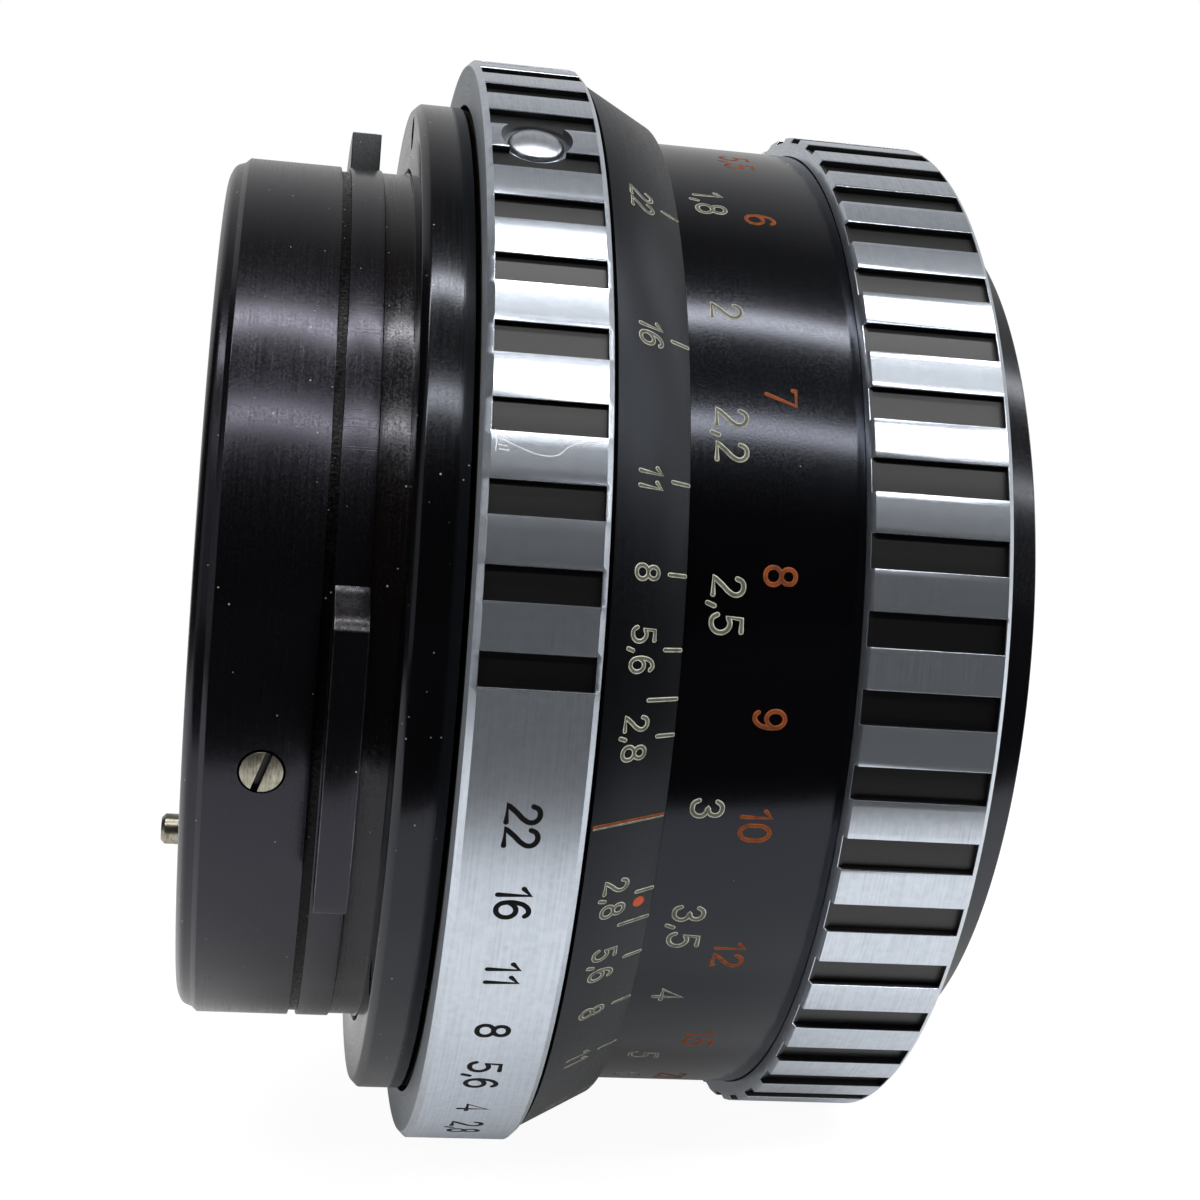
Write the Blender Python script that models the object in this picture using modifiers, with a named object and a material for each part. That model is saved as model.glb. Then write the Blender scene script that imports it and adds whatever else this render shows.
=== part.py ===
"""A black and bright-metal portrait lens for a medium-format camera, with a bayonet at its rear end.

The optical axis is X, with +X toward the subject, and the origin lies on the axis at the flange's seat face.
Angles round the axis are measured from -Y, the side that faces the viewer, up toward +Z.
"""

import math

import bmesh
import bpy
from mathutils import Matrix, Vector

MM = 0.001
GAP = 0.3 * MM  # clearance between neighbouring pieces
INDEX_ANGLE = math.radians(-19.3)  # where the red index line, one lug and the locating screw lie

# Bayonet tube
TUBE_RADIUS = 30 * MM
TUBE_WALL = 4 * MM
TUBE_LENGTH = 12.1 * MM
RIM_CHAMFER_LENGTH = 1.35 * MM
RIM_CHAMFER_DEPTH = 2 * MM
SHOULDER_HEIGHT = 1 * MM
SHOULDER_WIDTH = 1.3 * MM
LUG_COUNT = 3
LUG_ARC = math.radians(32)
LUG_HEIGHT = 2.65 * MM
LUG_WIDTH = 2.05 * MM
LUG_SETBACK = 1.85 * MM
GROOVE_SETBACK = 0.1 * MM  # behind the lugs' rear faces
GROOVE_WIDTH = 0.6 * MM
GROOVE_DEPTH = 0.3 * MM
LOCATING_SCREW_RADIUS = 1.4 * MM
LOCATING_SCREW_LENGTH = 2.6 * MM
LOCATING_SCREW_SETBACK = 7.4 * MM
LOCATING_SLOT_TURN = math.radians(40)
DRIVER_SLOT_WIDTH = 0.5 * MM
DRIVER_SLOT_DEPTH = 0.5 * MM

# Flange and the screws through it
FLANGE_HEIGHT = 4.75 * MM
FLANGE_WIDTH = 3.2 * MM
FLANGE_CHAMFER = 0.5 * MM
FLANGE_SCREW_COUNT = 3
FLANGE_SCREW_TURN = math.radians(-26)  # from the index to the first screw, clear of the lugs
SCREW_HEAD_RADIUS = 1 * MM
SCREW_HEAD_HEIGHT = 0.6 * MM
SCREW_SLOT_DEPTH = 0.3 * MM
SCREW_SHANK_RADIUS = 0.6 * MM
SCREW_GRIP = 1 * MM  # how far a shank reaches into the fixed barrel

# Fixed barrel, with the helicoid tube inside and the aperture ring's sleeve outside
BASE_WIDTH = 1.7 * MM
SLEEVE_WALL = 0.7 * MM
HELICOID_WALL = 3.2 * MM
HELICOID_LENGTH = 14.8 * MM
GUIDE_PIN_RADIUS = 1.5 * MM
GUIDE_PIN_SETBACK = 3.5 * MM
GUIDE_PIN_INSET = 0.3 * MM
GUIDE_PIN_ANGLE = math.radians(160)

# Focus travel, back to infinity and forward to the nearest distance
TRAVEL_BACK = 2.26 * MM
TRAVEL_FORWARD = 5.44 * MM

# Aperture ring and its stop-down button
APERTURE_RING_WALL = 3.07 * MM
APERTURE_RING_WIDTH = 7.3 * MM
APERTURE_SLOT_COUNT = 50
APERTURE_SCALE_FIRST = -7  # slots left out for the stop numbers, counted from the index
APERTURE_SCALE_LAST = 1
APERTURE_SLOT_WIDTH = 2 * MM
APERTURE_RIM = 0.38 * MM
SLOT_DEPTH = 0.6 * MM
RING_CHAMFER = 0.3 * MM
BUTTON_RADIUS = 1.73 * MM
BUTTON_HEIGHT = 1.1 * MM
BUTTON_DOME = 0.75 * MM
BUTTON_SUNK = 0.1 * MM
BUTTON_SETBACK = 3.2 * MM  # from the ring's rear edge to the button's axis
BUTTON_STEP = 9.5  # slots from the index to the button

# Depth scale cone
CONE_LENGTH = 4.72 * MM
CONE_REAR_HEIGHT = 2.3 * MM
CONE_FRONT_WALL = 0.8 * MM
CONE_LIP = 1.72 * MM

# Focus ring: threaded nut, distance ring and slotted grip
NUT_WALL = 1.68 * MM
NUT_LENGTH = 9 * MM
NUT_INSET = 0.7 * MM
DISTANCE_RING_WALL = 1.4 * MM
DISTANCE_BAND_WIDTH = 10.8 * MM
SKIRT_CLEARANCE = 0.86 * MM  # left behind the ring at infinity
GRIP_WALL = 1.02 * MM
GRIP_WIDTH = 8.67 * MM
GRIP_SLOT_COUNT = 48
GRIP_SLOT_WIDTH = 2.08 * MM
GRIP_RIM = 0.4 * MM
GRIP_TURN = math.radians(0.4)
LIP_WIDTH = 1.8 * MM
LIP_CATCH = 1.23 * MM

# Optics barrel and front rings
BARREL_WALL = 2.2 * MM
BARREL_FLANGE_WIDTH = 2 * MM
BARREL_FLARE_LENGTH = 2.6 * MM
FRONT_RING_WALL = 1.45 * MM
FRONT_RING_LENGTH = 3.05 * MM
FRONT_BASE_HEIGHT = 0.75 * MM
FRONT_BASE_WIDTH = 0.7 * MM
FRONT_EDGE_WALL = 0.7 * MM
THREAD_CHAMFER = 0.3 * MM
RETAINER_EDGE = 1.3 * MM
RETAINER_THICKNESS = 1.1 * MM

# Glass and the cells that carry it
FRONT_CELL_WALL = 5.1 * MM
FRONT_LENS_EDGE = 3 * MM
FRONT_LENS_CURVE = 50 * MM
FRONT_LENS_BACK = 180 * MM
LENS_SPACING = 3.73 * MM  # between the edges of the front lens and the pair
PAIR_STEP = 3 * MM  # from the front lens's radius in to the pair's
CROWN_EDGE = 1.3 * MM
FLINT_EDGE = 1 * MM
PAIR_FRONT_CURVE = 42 * MM
PAIR_JOIN_CURVE = 43.5 * MM
PAIR_BACK_CURVE = 45 * MM
INNER_CELL_WALL = 10.5 * MM
INNER_LENS_EDGE = 3 * MM
INNER_LENS_CURVE = 34 * MM
INNER_LENS_BACK = 40 * MM
REAR_LENS_EDGE = 3 * MM
REAR_LENS_FRONT = 120 * MM
REAR_LENS_CURVE = 60 * MM
CELL_LIP = 0.8 * MM
REAR_CELL_WALL = 2.7 * MM
REAR_CELL_CLEARANCE = 2.6 * MM  # inside the rear plate
REAR_CELL_REACH = 14.6 * MM
REAR_RETAINER_WIDTH = 1.1 * MM
REAR_RETAINER_INSET = 0.4 * MM

# Iris
IRIS_SETBACK = 7 * MM
IRIS_BASE_WIDTH = 1.2 * MM
BLADE_COUNT = 8
BLADE_THICKNESS = 0.12 * MM
BLADE_PITCH = 0.3 * MM
BLADE_WIDTH = 6.2 * MM
BLADE_ARC = math.radians(122)
BLADE_REACH = 8.7 * MM  # from the pivots in to the open edge
BLADE_TAB = 1.5 * MM
BLADE_SWING = math.radians(30.3)
PIVOT_RADIUS = 0.6 * MM
PIVOT_INSET = 2 * MM  # from the iris base's edge
DRIVE_WIDTH = 0.9 * MM
DRIVE_WALL = 3.2 * MM

# Auto-diaphragm pin and the two rings that guide it
PIN_RADIUS = 0.95 * MM
PIN_INSET = 2 * MM  # from the tube's bore to the pin's axis
PIN_ANGLE = math.radians(-39.5)
PIN_PROUD = 1.25 * MM
PIN_COLLAR_RADIUS = 1.5 * MM
PIN_COLLAR_WIDTH = 0.7 * MM
PIN_REACH = 0.4 * MM
SPRING_WIRE = 0.3 * MM
SPRING_TURNS = 6
SPRING_POINTS = 10  # along each turn
REAR_PLATE_SETBACK = 1.7 * MM
REAR_PLATE_WIDTH = 1.4 * MM
REAR_PLATE_BAND = 5.7 * MM
GUIDE_RING_SETBACK = 0.2 * MM
GUIDE_RING_WIDTH = 1.4 * MM

# Facets round turned pieces
OUTER_STEPS = 48
INNER_STEPS = 36
GLASS_STEPS = 24
SMALL_STEPS = 12
SHARP_ANGLE = math.radians(30)
LUG_POINTS = 6
BLADE_POINTS = 13
GLASS_POINTS = 5
DOME_POINTS = 4
PIVOT_STEPS = 8
THROUGH = 2  # a cutter runs this many times past the wall that it opens

# Radii, built outward and inward from the bayonet tube
TUBE_BORE = TUBE_RADIUS - TUBE_WALL
SHOULDER_RADIUS = TUBE_RADIUS + SHOULDER_HEIGHT
SHOULDER_BORE = SHOULDER_RADIUS + GAP
FLANGE_RADIUS = TUBE_RADIUS + FLANGE_HEIGHT
SCREW_CIRCLE = (SHOULDER_BORE + FLANGE_RADIUS - FLANGE_CHAMFER) / 2
NUT_BORE = TUBE_RADIUS + GAP
NUT_RADIUS = NUT_BORE + NUT_WALL
DISTANCE_BORE = NUT_RADIUS + GAP
DISTANCE_RADIUS = DISTANCE_BORE + DISTANCE_RING_WALL
SLEEVE_BORE = DISTANCE_RADIUS + GAP
SLEEVE_RADIUS = SLEEVE_BORE + SLEEVE_WALL
APERTURE_BORE = SLEEVE_RADIUS + GAP
APERTURE_RADIUS = APERTURE_BORE + APERTURE_RING_WALL
CONE_REAR_RADIUS = APERTURE_BORE + CONE_REAR_HEIGHT
CONE_FRONT_RADIUS = SLEEVE_BORE + CONE_FRONT_WALL
GRIP_RADIUS = SLEEVE_BORE + GRIP_WALL
BARREL_FLANGE_RADIUS = DISTANCE_BORE - GAP
LIP_BORE = BARREL_FLANGE_RADIUS - LIP_CATCH
FRONT_SLEEVE_RADIUS = LIP_BORE - GAP
THREAD_RADIUS = FRONT_SLEEVE_RADIUS - FRONT_RING_WALL
FRONT_BASE_RADIUS = FRONT_SLEEVE_RADIUS + FRONT_BASE_HEIGHT
HELICOID_BORE = TUBE_RADIUS - HELICOID_WALL
BARREL_RADIUS = HELICOID_BORE - GAP
BARREL_BORE = BARREL_RADIUS - BARREL_WALL
CELL_RADIUS = BARREL_BORE - GAP
FRONT_LENS_RADIUS = CELL_RADIUS - FRONT_CELL_WALL - GAP
PAIR_RADIUS = FRONT_LENS_RADIUS - PAIR_STEP
INNER_LENS_RADIUS = CELL_RADIUS - INNER_CELL_WALL - GAP
BLADE_PIVOT_RADIUS = CELL_RADIUS - PIVOT_INSET
IRIS_OPEN_RADIUS = BLADE_PIVOT_RADIUS - BLADE_REACH
PIN_CIRCLE = TUBE_BORE - PIN_INSET
REAR_PLATE_RADIUS = TUBE_BORE - GAP
REAR_PLATE_BORE = REAR_PLATE_RADIUS - REAR_PLATE_BAND
TAIL_RADIUS = REAR_PLATE_BORE - REAR_CELL_CLEARANCE
TAIL_BORE = TAIL_RADIUS - REAR_CELL_WALL
REAR_LENS_RADIUS = TAIL_BORE - GAP

# Stations along the axis, built forward from the seat face at 0
TUBE_REAR = -TUBE_LENGTH
LUG_FRONT = -LUG_SETBACK
LUG_REAR = LUG_FRONT - LUG_WIDTH
BASE_REAR = FLANGE_WIDTH + GAP
BASE_FRONT = BASE_REAR + BASE_WIDTH
HELICOID_FRONT = BASE_FRONT + HELICOID_LENGTH
APERTURE_REAR = FLANGE_WIDTH + GAP
APERTURE_FRONT = APERTURE_REAR + APERTURE_RING_WIDTH
CONE_REAR = APERTURE_FRONT + GAP
CONE_FRONT = CONE_REAR + CONE_LENGTH
SLEEVE_FRONT = CONE_FRONT - CONE_LIP - GAP
GRIP_REAR = CONE_FRONT + DISTANCE_BAND_WIDTH
GRIP_FRONT = GRIP_REAR + GRIP_WIDTH
LIP_REAR = GRIP_FRONT - LIP_WIDTH
DISTANCE_REAR = BASE_FRONT + TRAVEL_BACK + SKIRT_CLEARANCE
BARREL_REAR = FLANGE_WIDTH + TRAVEL_BACK + 2 * GAP
BARREL_FRONT = LIP_REAR - GAP
FLANGE_BACK = BARREL_FRONT - BARREL_FLANGE_WIDTH
FRONT_BASE_REAR = GRIP_FRONT + GAP
FRONT_END = FRONT_BASE_REAR + FRONT_RING_LENGTH
IRIS_REAR = BARREL_REAR + IRIS_SETBACK
IRIS_FRONT = IRIS_REAR + IRIS_BASE_WIDTH
BLADES_FRONT = IRIS_FRONT + GAP + BLADE_COUNT * BLADE_PITCH
DRIVE_REAR = BLADES_FRONT + GAP
DRIVE_FRONT = DRIVE_REAR + DRIVE_WIDTH
FRONT_CELL_REAR = DRIVE_FRONT + GAP
PAIR_REAR = FRONT_CELL_REAR + CELL_LIP + GAP
PAIR_JOIN = PAIR_REAR + FLINT_EDGE
PAIR_FRONT = PAIR_JOIN + GAP + CROWN_EDGE
LENS_EDGE_REAR = PAIR_FRONT + LENS_SPACING
LENS_EDGE_FRONT = LENS_EDGE_REAR + FRONT_LENS_EDGE
REAR_CELL_REAR = BARREL_REAR - REAR_CELL_REACH
REAR_PLATE_REAR = TUBE_REAR + REAR_PLATE_SETBACK
REAR_PLATE_FRONT = REAR_PLATE_REAR + REAR_PLATE_WIDTH
GUIDE_RING_FRONT = -GUIDE_RING_SETBACK
GUIDE_RING_REAR = GUIDE_RING_FRONT - GUIDE_RING_WIDTH
COLLAR_REAR = REAR_PLATE_FRONT + GAP
COLLAR_FRONT = COLLAR_REAR + PIN_COLLAR_WIDTH

# Finishes: colour, roughness, metallic value and transmission
BLACK_METAL = ("#26282c", 0.38, 0.6, 0.0)
MATT_BLACK = ("#18191a", 0.6, 0.3, 0.0)
BRIGHT_METAL = ("#cfcecb", 0.3, 1.0, 0.0)
STEEL = ("#d4d2cc", 0.22, 1.0, 0.0)
BRASS = ("#b3925a", 0.35, 1.0, 0.0)
GLASS = ("#dfe6ee", 0.02, 0.0, 1.0)

FACING_X = Matrix(((0, 0, -1, 0), (-1, 0, 0, 0), (0, 1, 0, 0), (0, 0, 0, 1)))


def clear_scene():
    for obj in list(bpy.data.objects):
        bpy.data.objects.remove(obj)


def new_collection(name):
    collection = bpy.data.collections.new(name)
    bpy.context.scene.collection.children.link(collection)
    return collection


def linear(hex_colour):
    """A Blender colour from an sRGB hex string."""
    channels = [int(hex_colour[i : i + 2], 16) / 255 for i in (1, 3, 5)]
    return [c / 12.92 if c <= 0.04045 else ((c + 0.055) / 1.055) ** 2.4 for c in channels] + [1]


def new_material(name, hex_colour, roughness, metallic, clear):
    material = bpy.data.materials.new(name)
    material.use_nodes = True
    shader = material.node_tree.nodes["Principled BSDF"]
    shader.inputs["Base Color"].default_value = linear(hex_colour)
    shader.inputs["Roughness"].default_value = roughness
    shader.inputs["Metallic"].default_value = metallic
    shader.inputs["Transmission Weight"].default_value = clear
    return material


def add_object(name, mesh, collection, parent=None):
    obj = bpy.data.objects.new(name, mesh)
    collection.objects.link(obj)
    obj.parent = parent
    return obj


def add_empty(name, parent=None):
    return add_object(name, None, parts, parent)


def add_cutter(name, mesh):
    obj = add_object(name, mesh, cutters)
    obj.hide_render = True
    obj.display_type = "WIRE"
    return obj


def cut(obj, cutter, operation="DIFFERENCE"):
    modifier = obj.modifiers.new(cutter.name, "BOOLEAN")
    modifier.operation = operation
    modifier.object = cutter
    modifier.solver = "EXACT"


def turned_mesh(name, profile, steps, start=0.0, closed=True):
    """Turns a profile of (x, radius) points round the X axis. It runs along the outer side from front to rear."""
    mesh = bpy.data.meshes.new(name)
    points = [(x, r * math.cos(start), r * math.sin(start)) for x, r in profile]
    edges = [(i, i + 1) for i in range(len(points) - 1)]
    if closed:
        edges.append((len(points) - 1, 0))
    mesh.from_pydata(points, edges, [])
    guide = add_object(name + "_profile", mesh, cutters)
    screw = guide.modifiers.new("turn", "SCREW")
    screw.axis = "X"
    screw.steps = steps
    screw.render_steps = steps
    screw.use_merge_vertices = True
    screw.merge_threshold = 1e-6
    return baked(guide, name)


def baked(obj, name):
    """The object's evaluated mesh. The object itself is removed."""
    graph = bpy.context.evaluated_depsgraph_get()
    mesh = bpy.data.meshes.new_from_object(obj.evaluated_get(graph))
    mesh.name = name
    bm = bmesh.new()
    bm.from_mesh(mesh)
    bmesh.ops.remove_doubles(bm, verts=bm.verts, dist=1e-7)
    bmesh.ops.recalc_face_normals(bm, faces=bm.faces)
    bm.to_mesh(mesh)
    bm.free()
    bpy.data.objects.remove(obj)
    return mesh


def outline_mesh(name, loops, thickness):
    """A flat plate square to the X axis, from closed loops of (toward the viewer, up) points."""
    curve = bpy.data.curves.new(name, "CURVE")
    curve.dimensions = "2D"
    curve.fill_mode = "BOTH"
    curve.extrude = thickness / 2
    for loop in loops:
        spline = curve.splines.new("POLY")
        spline.points.add(len(loop) - 1)
        spline.use_cyclic_u = True
        for point, (a, b) in zip(spline.points, loop):
            point.co = (a, b, 0, 1)
    mesh = baked(add_object(name + "_outline", curve, cutters), name)
    mesh.transform(FACING_X)
    return mesh


def polar(radius, angle):
    """A point of the plane square to the axis, as (toward the viewer, up)."""
    return radius * math.cos(angle), radius * math.sin(angle)


def arc(radius, start, end, count):
    return [polar(radius, start + (end - start) * i / (count - 1)) for i in range(count)]


def radial_frame(x, radius, angle):
    """A frame on a round surface: its X runs along the axis and its Z points outward."""
    outward = Vector((0, -math.cos(angle), math.sin(angle)))
    sideways = Vector((0, math.sin(angle), math.cos(angle)))
    frame = Matrix((Vector((1, 0, 0)), sideways, outward)).transposed().to_4x4()
    frame.translation = Vector((x, 0, 0)) + outward * radius
    return frame


def axial_frame(x, radius, angle):
    """A frame whose Z runs along the axis, at a radius and an angle."""
    frame = Matrix.Rotation(math.pi / 2, 4, "Y")
    across, up = polar(radius, angle)
    frame.translation = (x, -across, up)
    return frame


def boxes_mesh(name, size, frames):
    mesh = bpy.data.meshes.new(name)
    bm = bmesh.new()
    for frame in frames:
        bmesh.ops.create_cube(bm, size=1, matrix=frame @ Matrix.Diagonal((*size, 1)))
    bm.to_mesh(mesh)
    bm.free()
    return mesh


def rods_mesh(name, stages, frames, steps=SMALL_STEPS):
    """Round rods along each frame's Z, from stages of (bottom, top, radius)."""
    mesh = bpy.data.meshes.new(name)
    bm = bmesh.new()
    for frame in frames:
        for bottom, top, radius in stages:
            middle = Matrix.Translation((0, 0, (bottom + top) / 2))
            bmesh.ops.create_cone(
                bm,
                cap_ends=True,
                segments=steps,
                radius1=radius,
                radius2=radius,
                depth=top - bottom,
                matrix=frame @ middle,
            )
    bm.to_mesh(mesh)
    bm.free()
    return mesh


def add_part(name, mesh, finish, parent=None):
    """A named piece. Copies that share a mesh share its material too."""
    if not mesh.materials:
        mesh.materials.append(new_material(mesh.name, *finish))
    return add_object(name, mesh, parts, parent)


def add_ring(name, profile, finish, parent=None, steps=OUTER_STEPS, start=0.0):
    return add_part(name, turned_mesh(name, profile, steps, start), finish, parent)


def finish_parts():
    """Applies the modifiers and shades the round faces smooth, with sharp edges kept."""
    graph = bpy.context.evaluated_depsgraph_get()
    done = {}
    for obj in parts.objects:
        if obj.type != "MESH":
            continue
        if obj.modifiers:
            done[obj] = bpy.data.meshes.new_from_object(obj.evaluated_get(graph))
    for obj, mesh in done.items():
        obj.modifiers.clear()
        obj.data = mesh
    for obj in parts.objects:
        if obj.type == "MESH":
            obj.data.shade_smooth()
            obj.data.set_sharp_from_angle(angle=SHARP_ANGLE)


def sag(curve, height):
    """How far a sphere of this radius falls back at a height from the axis."""
    return curve - math.sqrt(curve * curve - height * height)


def glass_profile(edge_front, edge_rear, radius, front, rear):
    """A lens section. A positive front or rear radius bulges forward, as a meniscus does on both sides."""
    heights = [radius * i / (GLASS_POINTS - 1) for i in range(GLASS_POINTS)]

    def surface(edge, curve, height):
        fall = math.copysign(sag(abs(curve), radius) - sag(abs(curve), height), curve)
        return edge + fall, height

    face = [surface(edge_front, front, h) for h in heights]
    back = [surface(edge_rear, rear, h) for h in reversed(heights)]
    return face + back


def add_glass(name, profile):
    mesh = turned_mesh(name, profile, GLASS_STEPS, closed=False)
    return add_part(name, mesh, GLASS, optics_unit)


def make_mount_tube():
    groove = TUBE_RADIUS - GROOVE_DEPTH
    groove_front = LUG_REAR - GROOVE_SETBACK
    profile = [
        (FLANGE_WIDTH, SHOULDER_RADIUS),
        (FLANGE_WIDTH - SHOULDER_WIDTH, SHOULDER_RADIUS),
        (FLANGE_WIDTH - SHOULDER_WIDTH, TUBE_RADIUS),
        (groove_front, TUBE_RADIUS),
        (groove_front, groove),
        (groove_front - GROOVE_WIDTH, groove),
        (groove_front - GROOVE_WIDTH, TUBE_RADIUS),
        (TUBE_REAR + RIM_CHAMFER_LENGTH, TUBE_RADIUS),
        (TUBE_REAR, TUBE_RADIUS - RIM_CHAMFER_DEPTH),
        (TUBE_REAR, TUBE_BORE),
        (FLANGE_WIDTH, TUBE_BORE),
    ]
    tube = add_ring("mount_tube", profile, BLACK_METAL)
    root = TUBE_RADIUS - TUBE_WALL / 2
    for i in range(LUG_COUNT):
        middle = INDEX_ANGLE + i * math.tau / LUG_COUNT
        start = middle - LUG_ARC / 2
        end = middle + LUG_ARC / 2
        tip = arc(TUBE_RADIUS + LUG_HEIGHT, start, end, LUG_POINTS)
        loop = tip + arc(root, end, start, LUG_POINTS)
        lug = add_cutter(f"lug_{i + 1}", outline_mesh("lug", [loop], LUG_WIDTH))
        lug.location.x = (LUG_FRONT + LUG_REAR) / 2
        cut(tube, lug, "UNION")
    place = radial_frame(-LOCATING_SCREW_SETBACK, TUBE_RADIUS, INDEX_ANGLE)
    hole = [(-THROUGH * TUBE_WALL, TUBE_WALL, LOCATING_SCREW_RADIUS + GAP)]
    cut(tube, add_cutter("locating_screw_hole", rods_mesh("hole", hole, [place])))


def make_locating_screw():
    place = radial_frame(-LOCATING_SCREW_SETBACK, TUBE_RADIUS, INDEX_ANGLE)
    body = [(-LOCATING_SCREW_LENGTH, 0, LOCATING_SCREW_RADIUS)]
    screw = add_part("locating_screw", rods_mesh("locating_screw", body, [place]), STEEL)
    size = (2 * THROUGH * LOCATING_SCREW_RADIUS, DRIVER_SLOT_WIDTH, 2 * DRIVER_SLOT_DEPTH)
    turn = Matrix.Rotation(LOCATING_SLOT_TURN, 4, "Z")
    cut(screw, add_cutter("locating_screw_slot", boxes_mesh("slot", size, [place @ turn])))


def flange_screw_frames():
    """One frame for each flange screw, on the seat face and pointing forward."""
    turns = [FLANGE_SCREW_TURN + i * math.tau / FLANGE_SCREW_COUNT for i in range(FLANGE_SCREW_COUNT)]
    return [axial_frame(0, SCREW_CIRCLE, INDEX_ANGLE + turn) for turn in turns]


def make_flange_ring():
    shoulder_rear = FLANGE_WIDTH - SHOULDER_WIDTH - GAP
    profile = [
        (FLANGE_WIDTH, FLANGE_RADIUS),
        (FLANGE_CHAMFER, FLANGE_RADIUS),
        (0, FLANGE_RADIUS - FLANGE_CHAMFER),
        (0, TUBE_RADIUS + GAP),
        (shoulder_rear, TUBE_RADIUS + GAP),
        (shoulder_rear, SHOULDER_BORE),
        (FLANGE_WIDTH, SHOULDER_BORE),
    ]
    flange = add_ring("flange_ring", profile, BLACK_METAL)
    sink = SCREW_HEAD_HEIGHT + GAP
    head = [(-sink, sink, SCREW_HEAD_RADIUS + GAP)]
    shank = [(sink / 2, THROUGH * FLANGE_WIDTH, SCREW_SHANK_RADIUS + GAP)]
    frames = flange_screw_frames()
    cut(flange, add_cutter("screw_heads", rods_mesh("heads", head, frames)))
    cut(flange, add_cutter("screw_shanks", rods_mesh("shanks", shank, frames)))


def make_flange_screws():
    length = FLANGE_WIDTH + GAP + SCREW_GRIP
    profile = [
        (length, 0),
        (length, SCREW_SHANK_RADIUS),
        (SCREW_HEAD_HEIGHT, SCREW_SHANK_RADIUS),
        (SCREW_HEAD_HEIGHT, SCREW_HEAD_RADIUS),
        (0, SCREW_HEAD_RADIUS),
        (0, 0),
    ]
    mesh = turned_mesh("flange_screw", profile, SMALL_STEPS, closed=False)
    size = (2 * SCREW_SLOT_DEPTH, DRIVER_SLOT_WIDTH, 2 * THROUGH * SCREW_HEAD_RADIUS)
    slot = add_cutter("flange_screw_slot", boxes_mesh("slot", size, [Matrix.Identity(4)]))
    blank = add_object("flange_screw_blank", mesh, cutters)
    cut(blank, slot)
    slotted = baked(blank, "flange_screw")
    for i, frame in enumerate(flange_screw_frames()):
        screw = add_part(f"flange_screw_{i + 1}", slotted, STEEL)
        screw.location = frame.translation


def make_fixed_barrel():
    profile = [
        (SLEEVE_FRONT, SLEEVE_RADIUS),
        (BASE_REAR, SLEEVE_RADIUS),
        (BASE_REAR, HELICOID_BORE),
        (HELICOID_FRONT, HELICOID_BORE),
        (HELICOID_FRONT, TUBE_RADIUS),
        (BASE_FRONT, TUBE_RADIUS),
        (BASE_FRONT, SLEEVE_BORE),
        (SLEEVE_FRONT, SLEEVE_BORE),
    ]
    barrel = add_ring("fixed_barrel", profile, BRASS, steps=INNER_STEPS)
    shank = [(0, BASE_REAR + SCREW_GRIP + GAP, SCREW_SHANK_RADIUS + GAP)]
    cut(barrel, add_cutter("screw_holes", rods_mesh("holes", shank, flange_screw_frames())))
    hole = [(-THROUGH * HELICOID_WALL, HELICOID_WALL, GUIDE_PIN_RADIUS + GAP)]
    cut(barrel, add_cutter("guide_pin_hole", rods_mesh("hole", hole, [guide_pin_frame()])))


def guide_pin_frame():
    return radial_frame(HELICOID_FRONT - GUIDE_PIN_SETBACK, TUBE_RADIUS, GUIDE_PIN_ANGLE)


def make_guide_pin():
    reach = [(BARREL_BORE + 2 * GAP - TUBE_RADIUS, -GUIDE_PIN_INSET, GUIDE_PIN_RADIUS)]
    add_part("guide_pin", rods_mesh("guide_pin", reach, [guide_pin_frame()]), STEEL)


def make_depth_cone():
    profile = [
        (CONE_FRONT, CONE_FRONT_RADIUS),
        (CONE_REAR, CONE_REAR_RADIUS),
        (CONE_REAR, APERTURE_BORE),
        (CONE_FRONT - CONE_LIP, APERTURE_BORE),
        (CONE_FRONT - CONE_LIP, SLEEVE_BORE),
        (CONE_FRONT, SLEEVE_BORE),
    ]
    add_ring("depth_scale_cone", profile, BLACK_METAL)


def make_aperture_ring():
    pitch = math.tau / APERTURE_SLOT_COUNT
    left_out = range(APERTURE_SCALE_FIRST, APERTURE_SCALE_LAST + 1)
    last = APERTURE_SCALE_FIRST + APERTURE_SLOT_COUNT
    turns = [k for k in range(APERTURE_SCALE_FIRST, last) if k not in left_out]
    profile = [
        (APERTURE_FRONT, APERTURE_RADIUS - RING_CHAMFER),
        (APERTURE_FRONT - RING_CHAMFER, APERTURE_RADIUS),
        (APERTURE_REAR + RING_CHAMFER, APERTURE_RADIUS),
        (APERTURE_REAR, APERTURE_RADIUS - RING_CHAMFER),
        (APERTURE_REAR, APERTURE_BORE),
        (APERTURE_FRONT, APERTURE_BORE),
    ]
    facet = math.pi - INDEX_ANGLE + pitch / 2
    ring = add_ring("aperture_ring", profile, BRIGHT_METAL, aperture_unit, APERTURE_SLOT_COUNT, facet)
    middle = (APERTURE_REAR + APERTURE_FRONT) / 2
    size = (APERTURE_RING_WIDTH - 2 * APERTURE_RIM, APERTURE_SLOT_WIDTH, 2 * SLOT_DEPTH)
    frames = [radial_frame(middle, APERTURE_RADIUS, INDEX_ANGLE + k * pitch) for k in turns]
    cut(ring, add_cutter("aperture_slots", boxes_mesh("slots", size, frames)))
    hole = [(-THROUGH * APERTURE_RING_WALL, APERTURE_RING_WALL, BUTTON_RADIUS + GAP)]
    cut(ring, add_cutter("button_hole", rods_mesh("hole", hole, [button_frame()])))


def button_frame():
    turn = INDEX_ANGLE + BUTTON_STEP * math.tau / APERTURE_SLOT_COUNT
    return radial_frame(APERTURE_REAR + BUTTON_SETBACK, APERTURE_RADIUS, turn)


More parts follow.
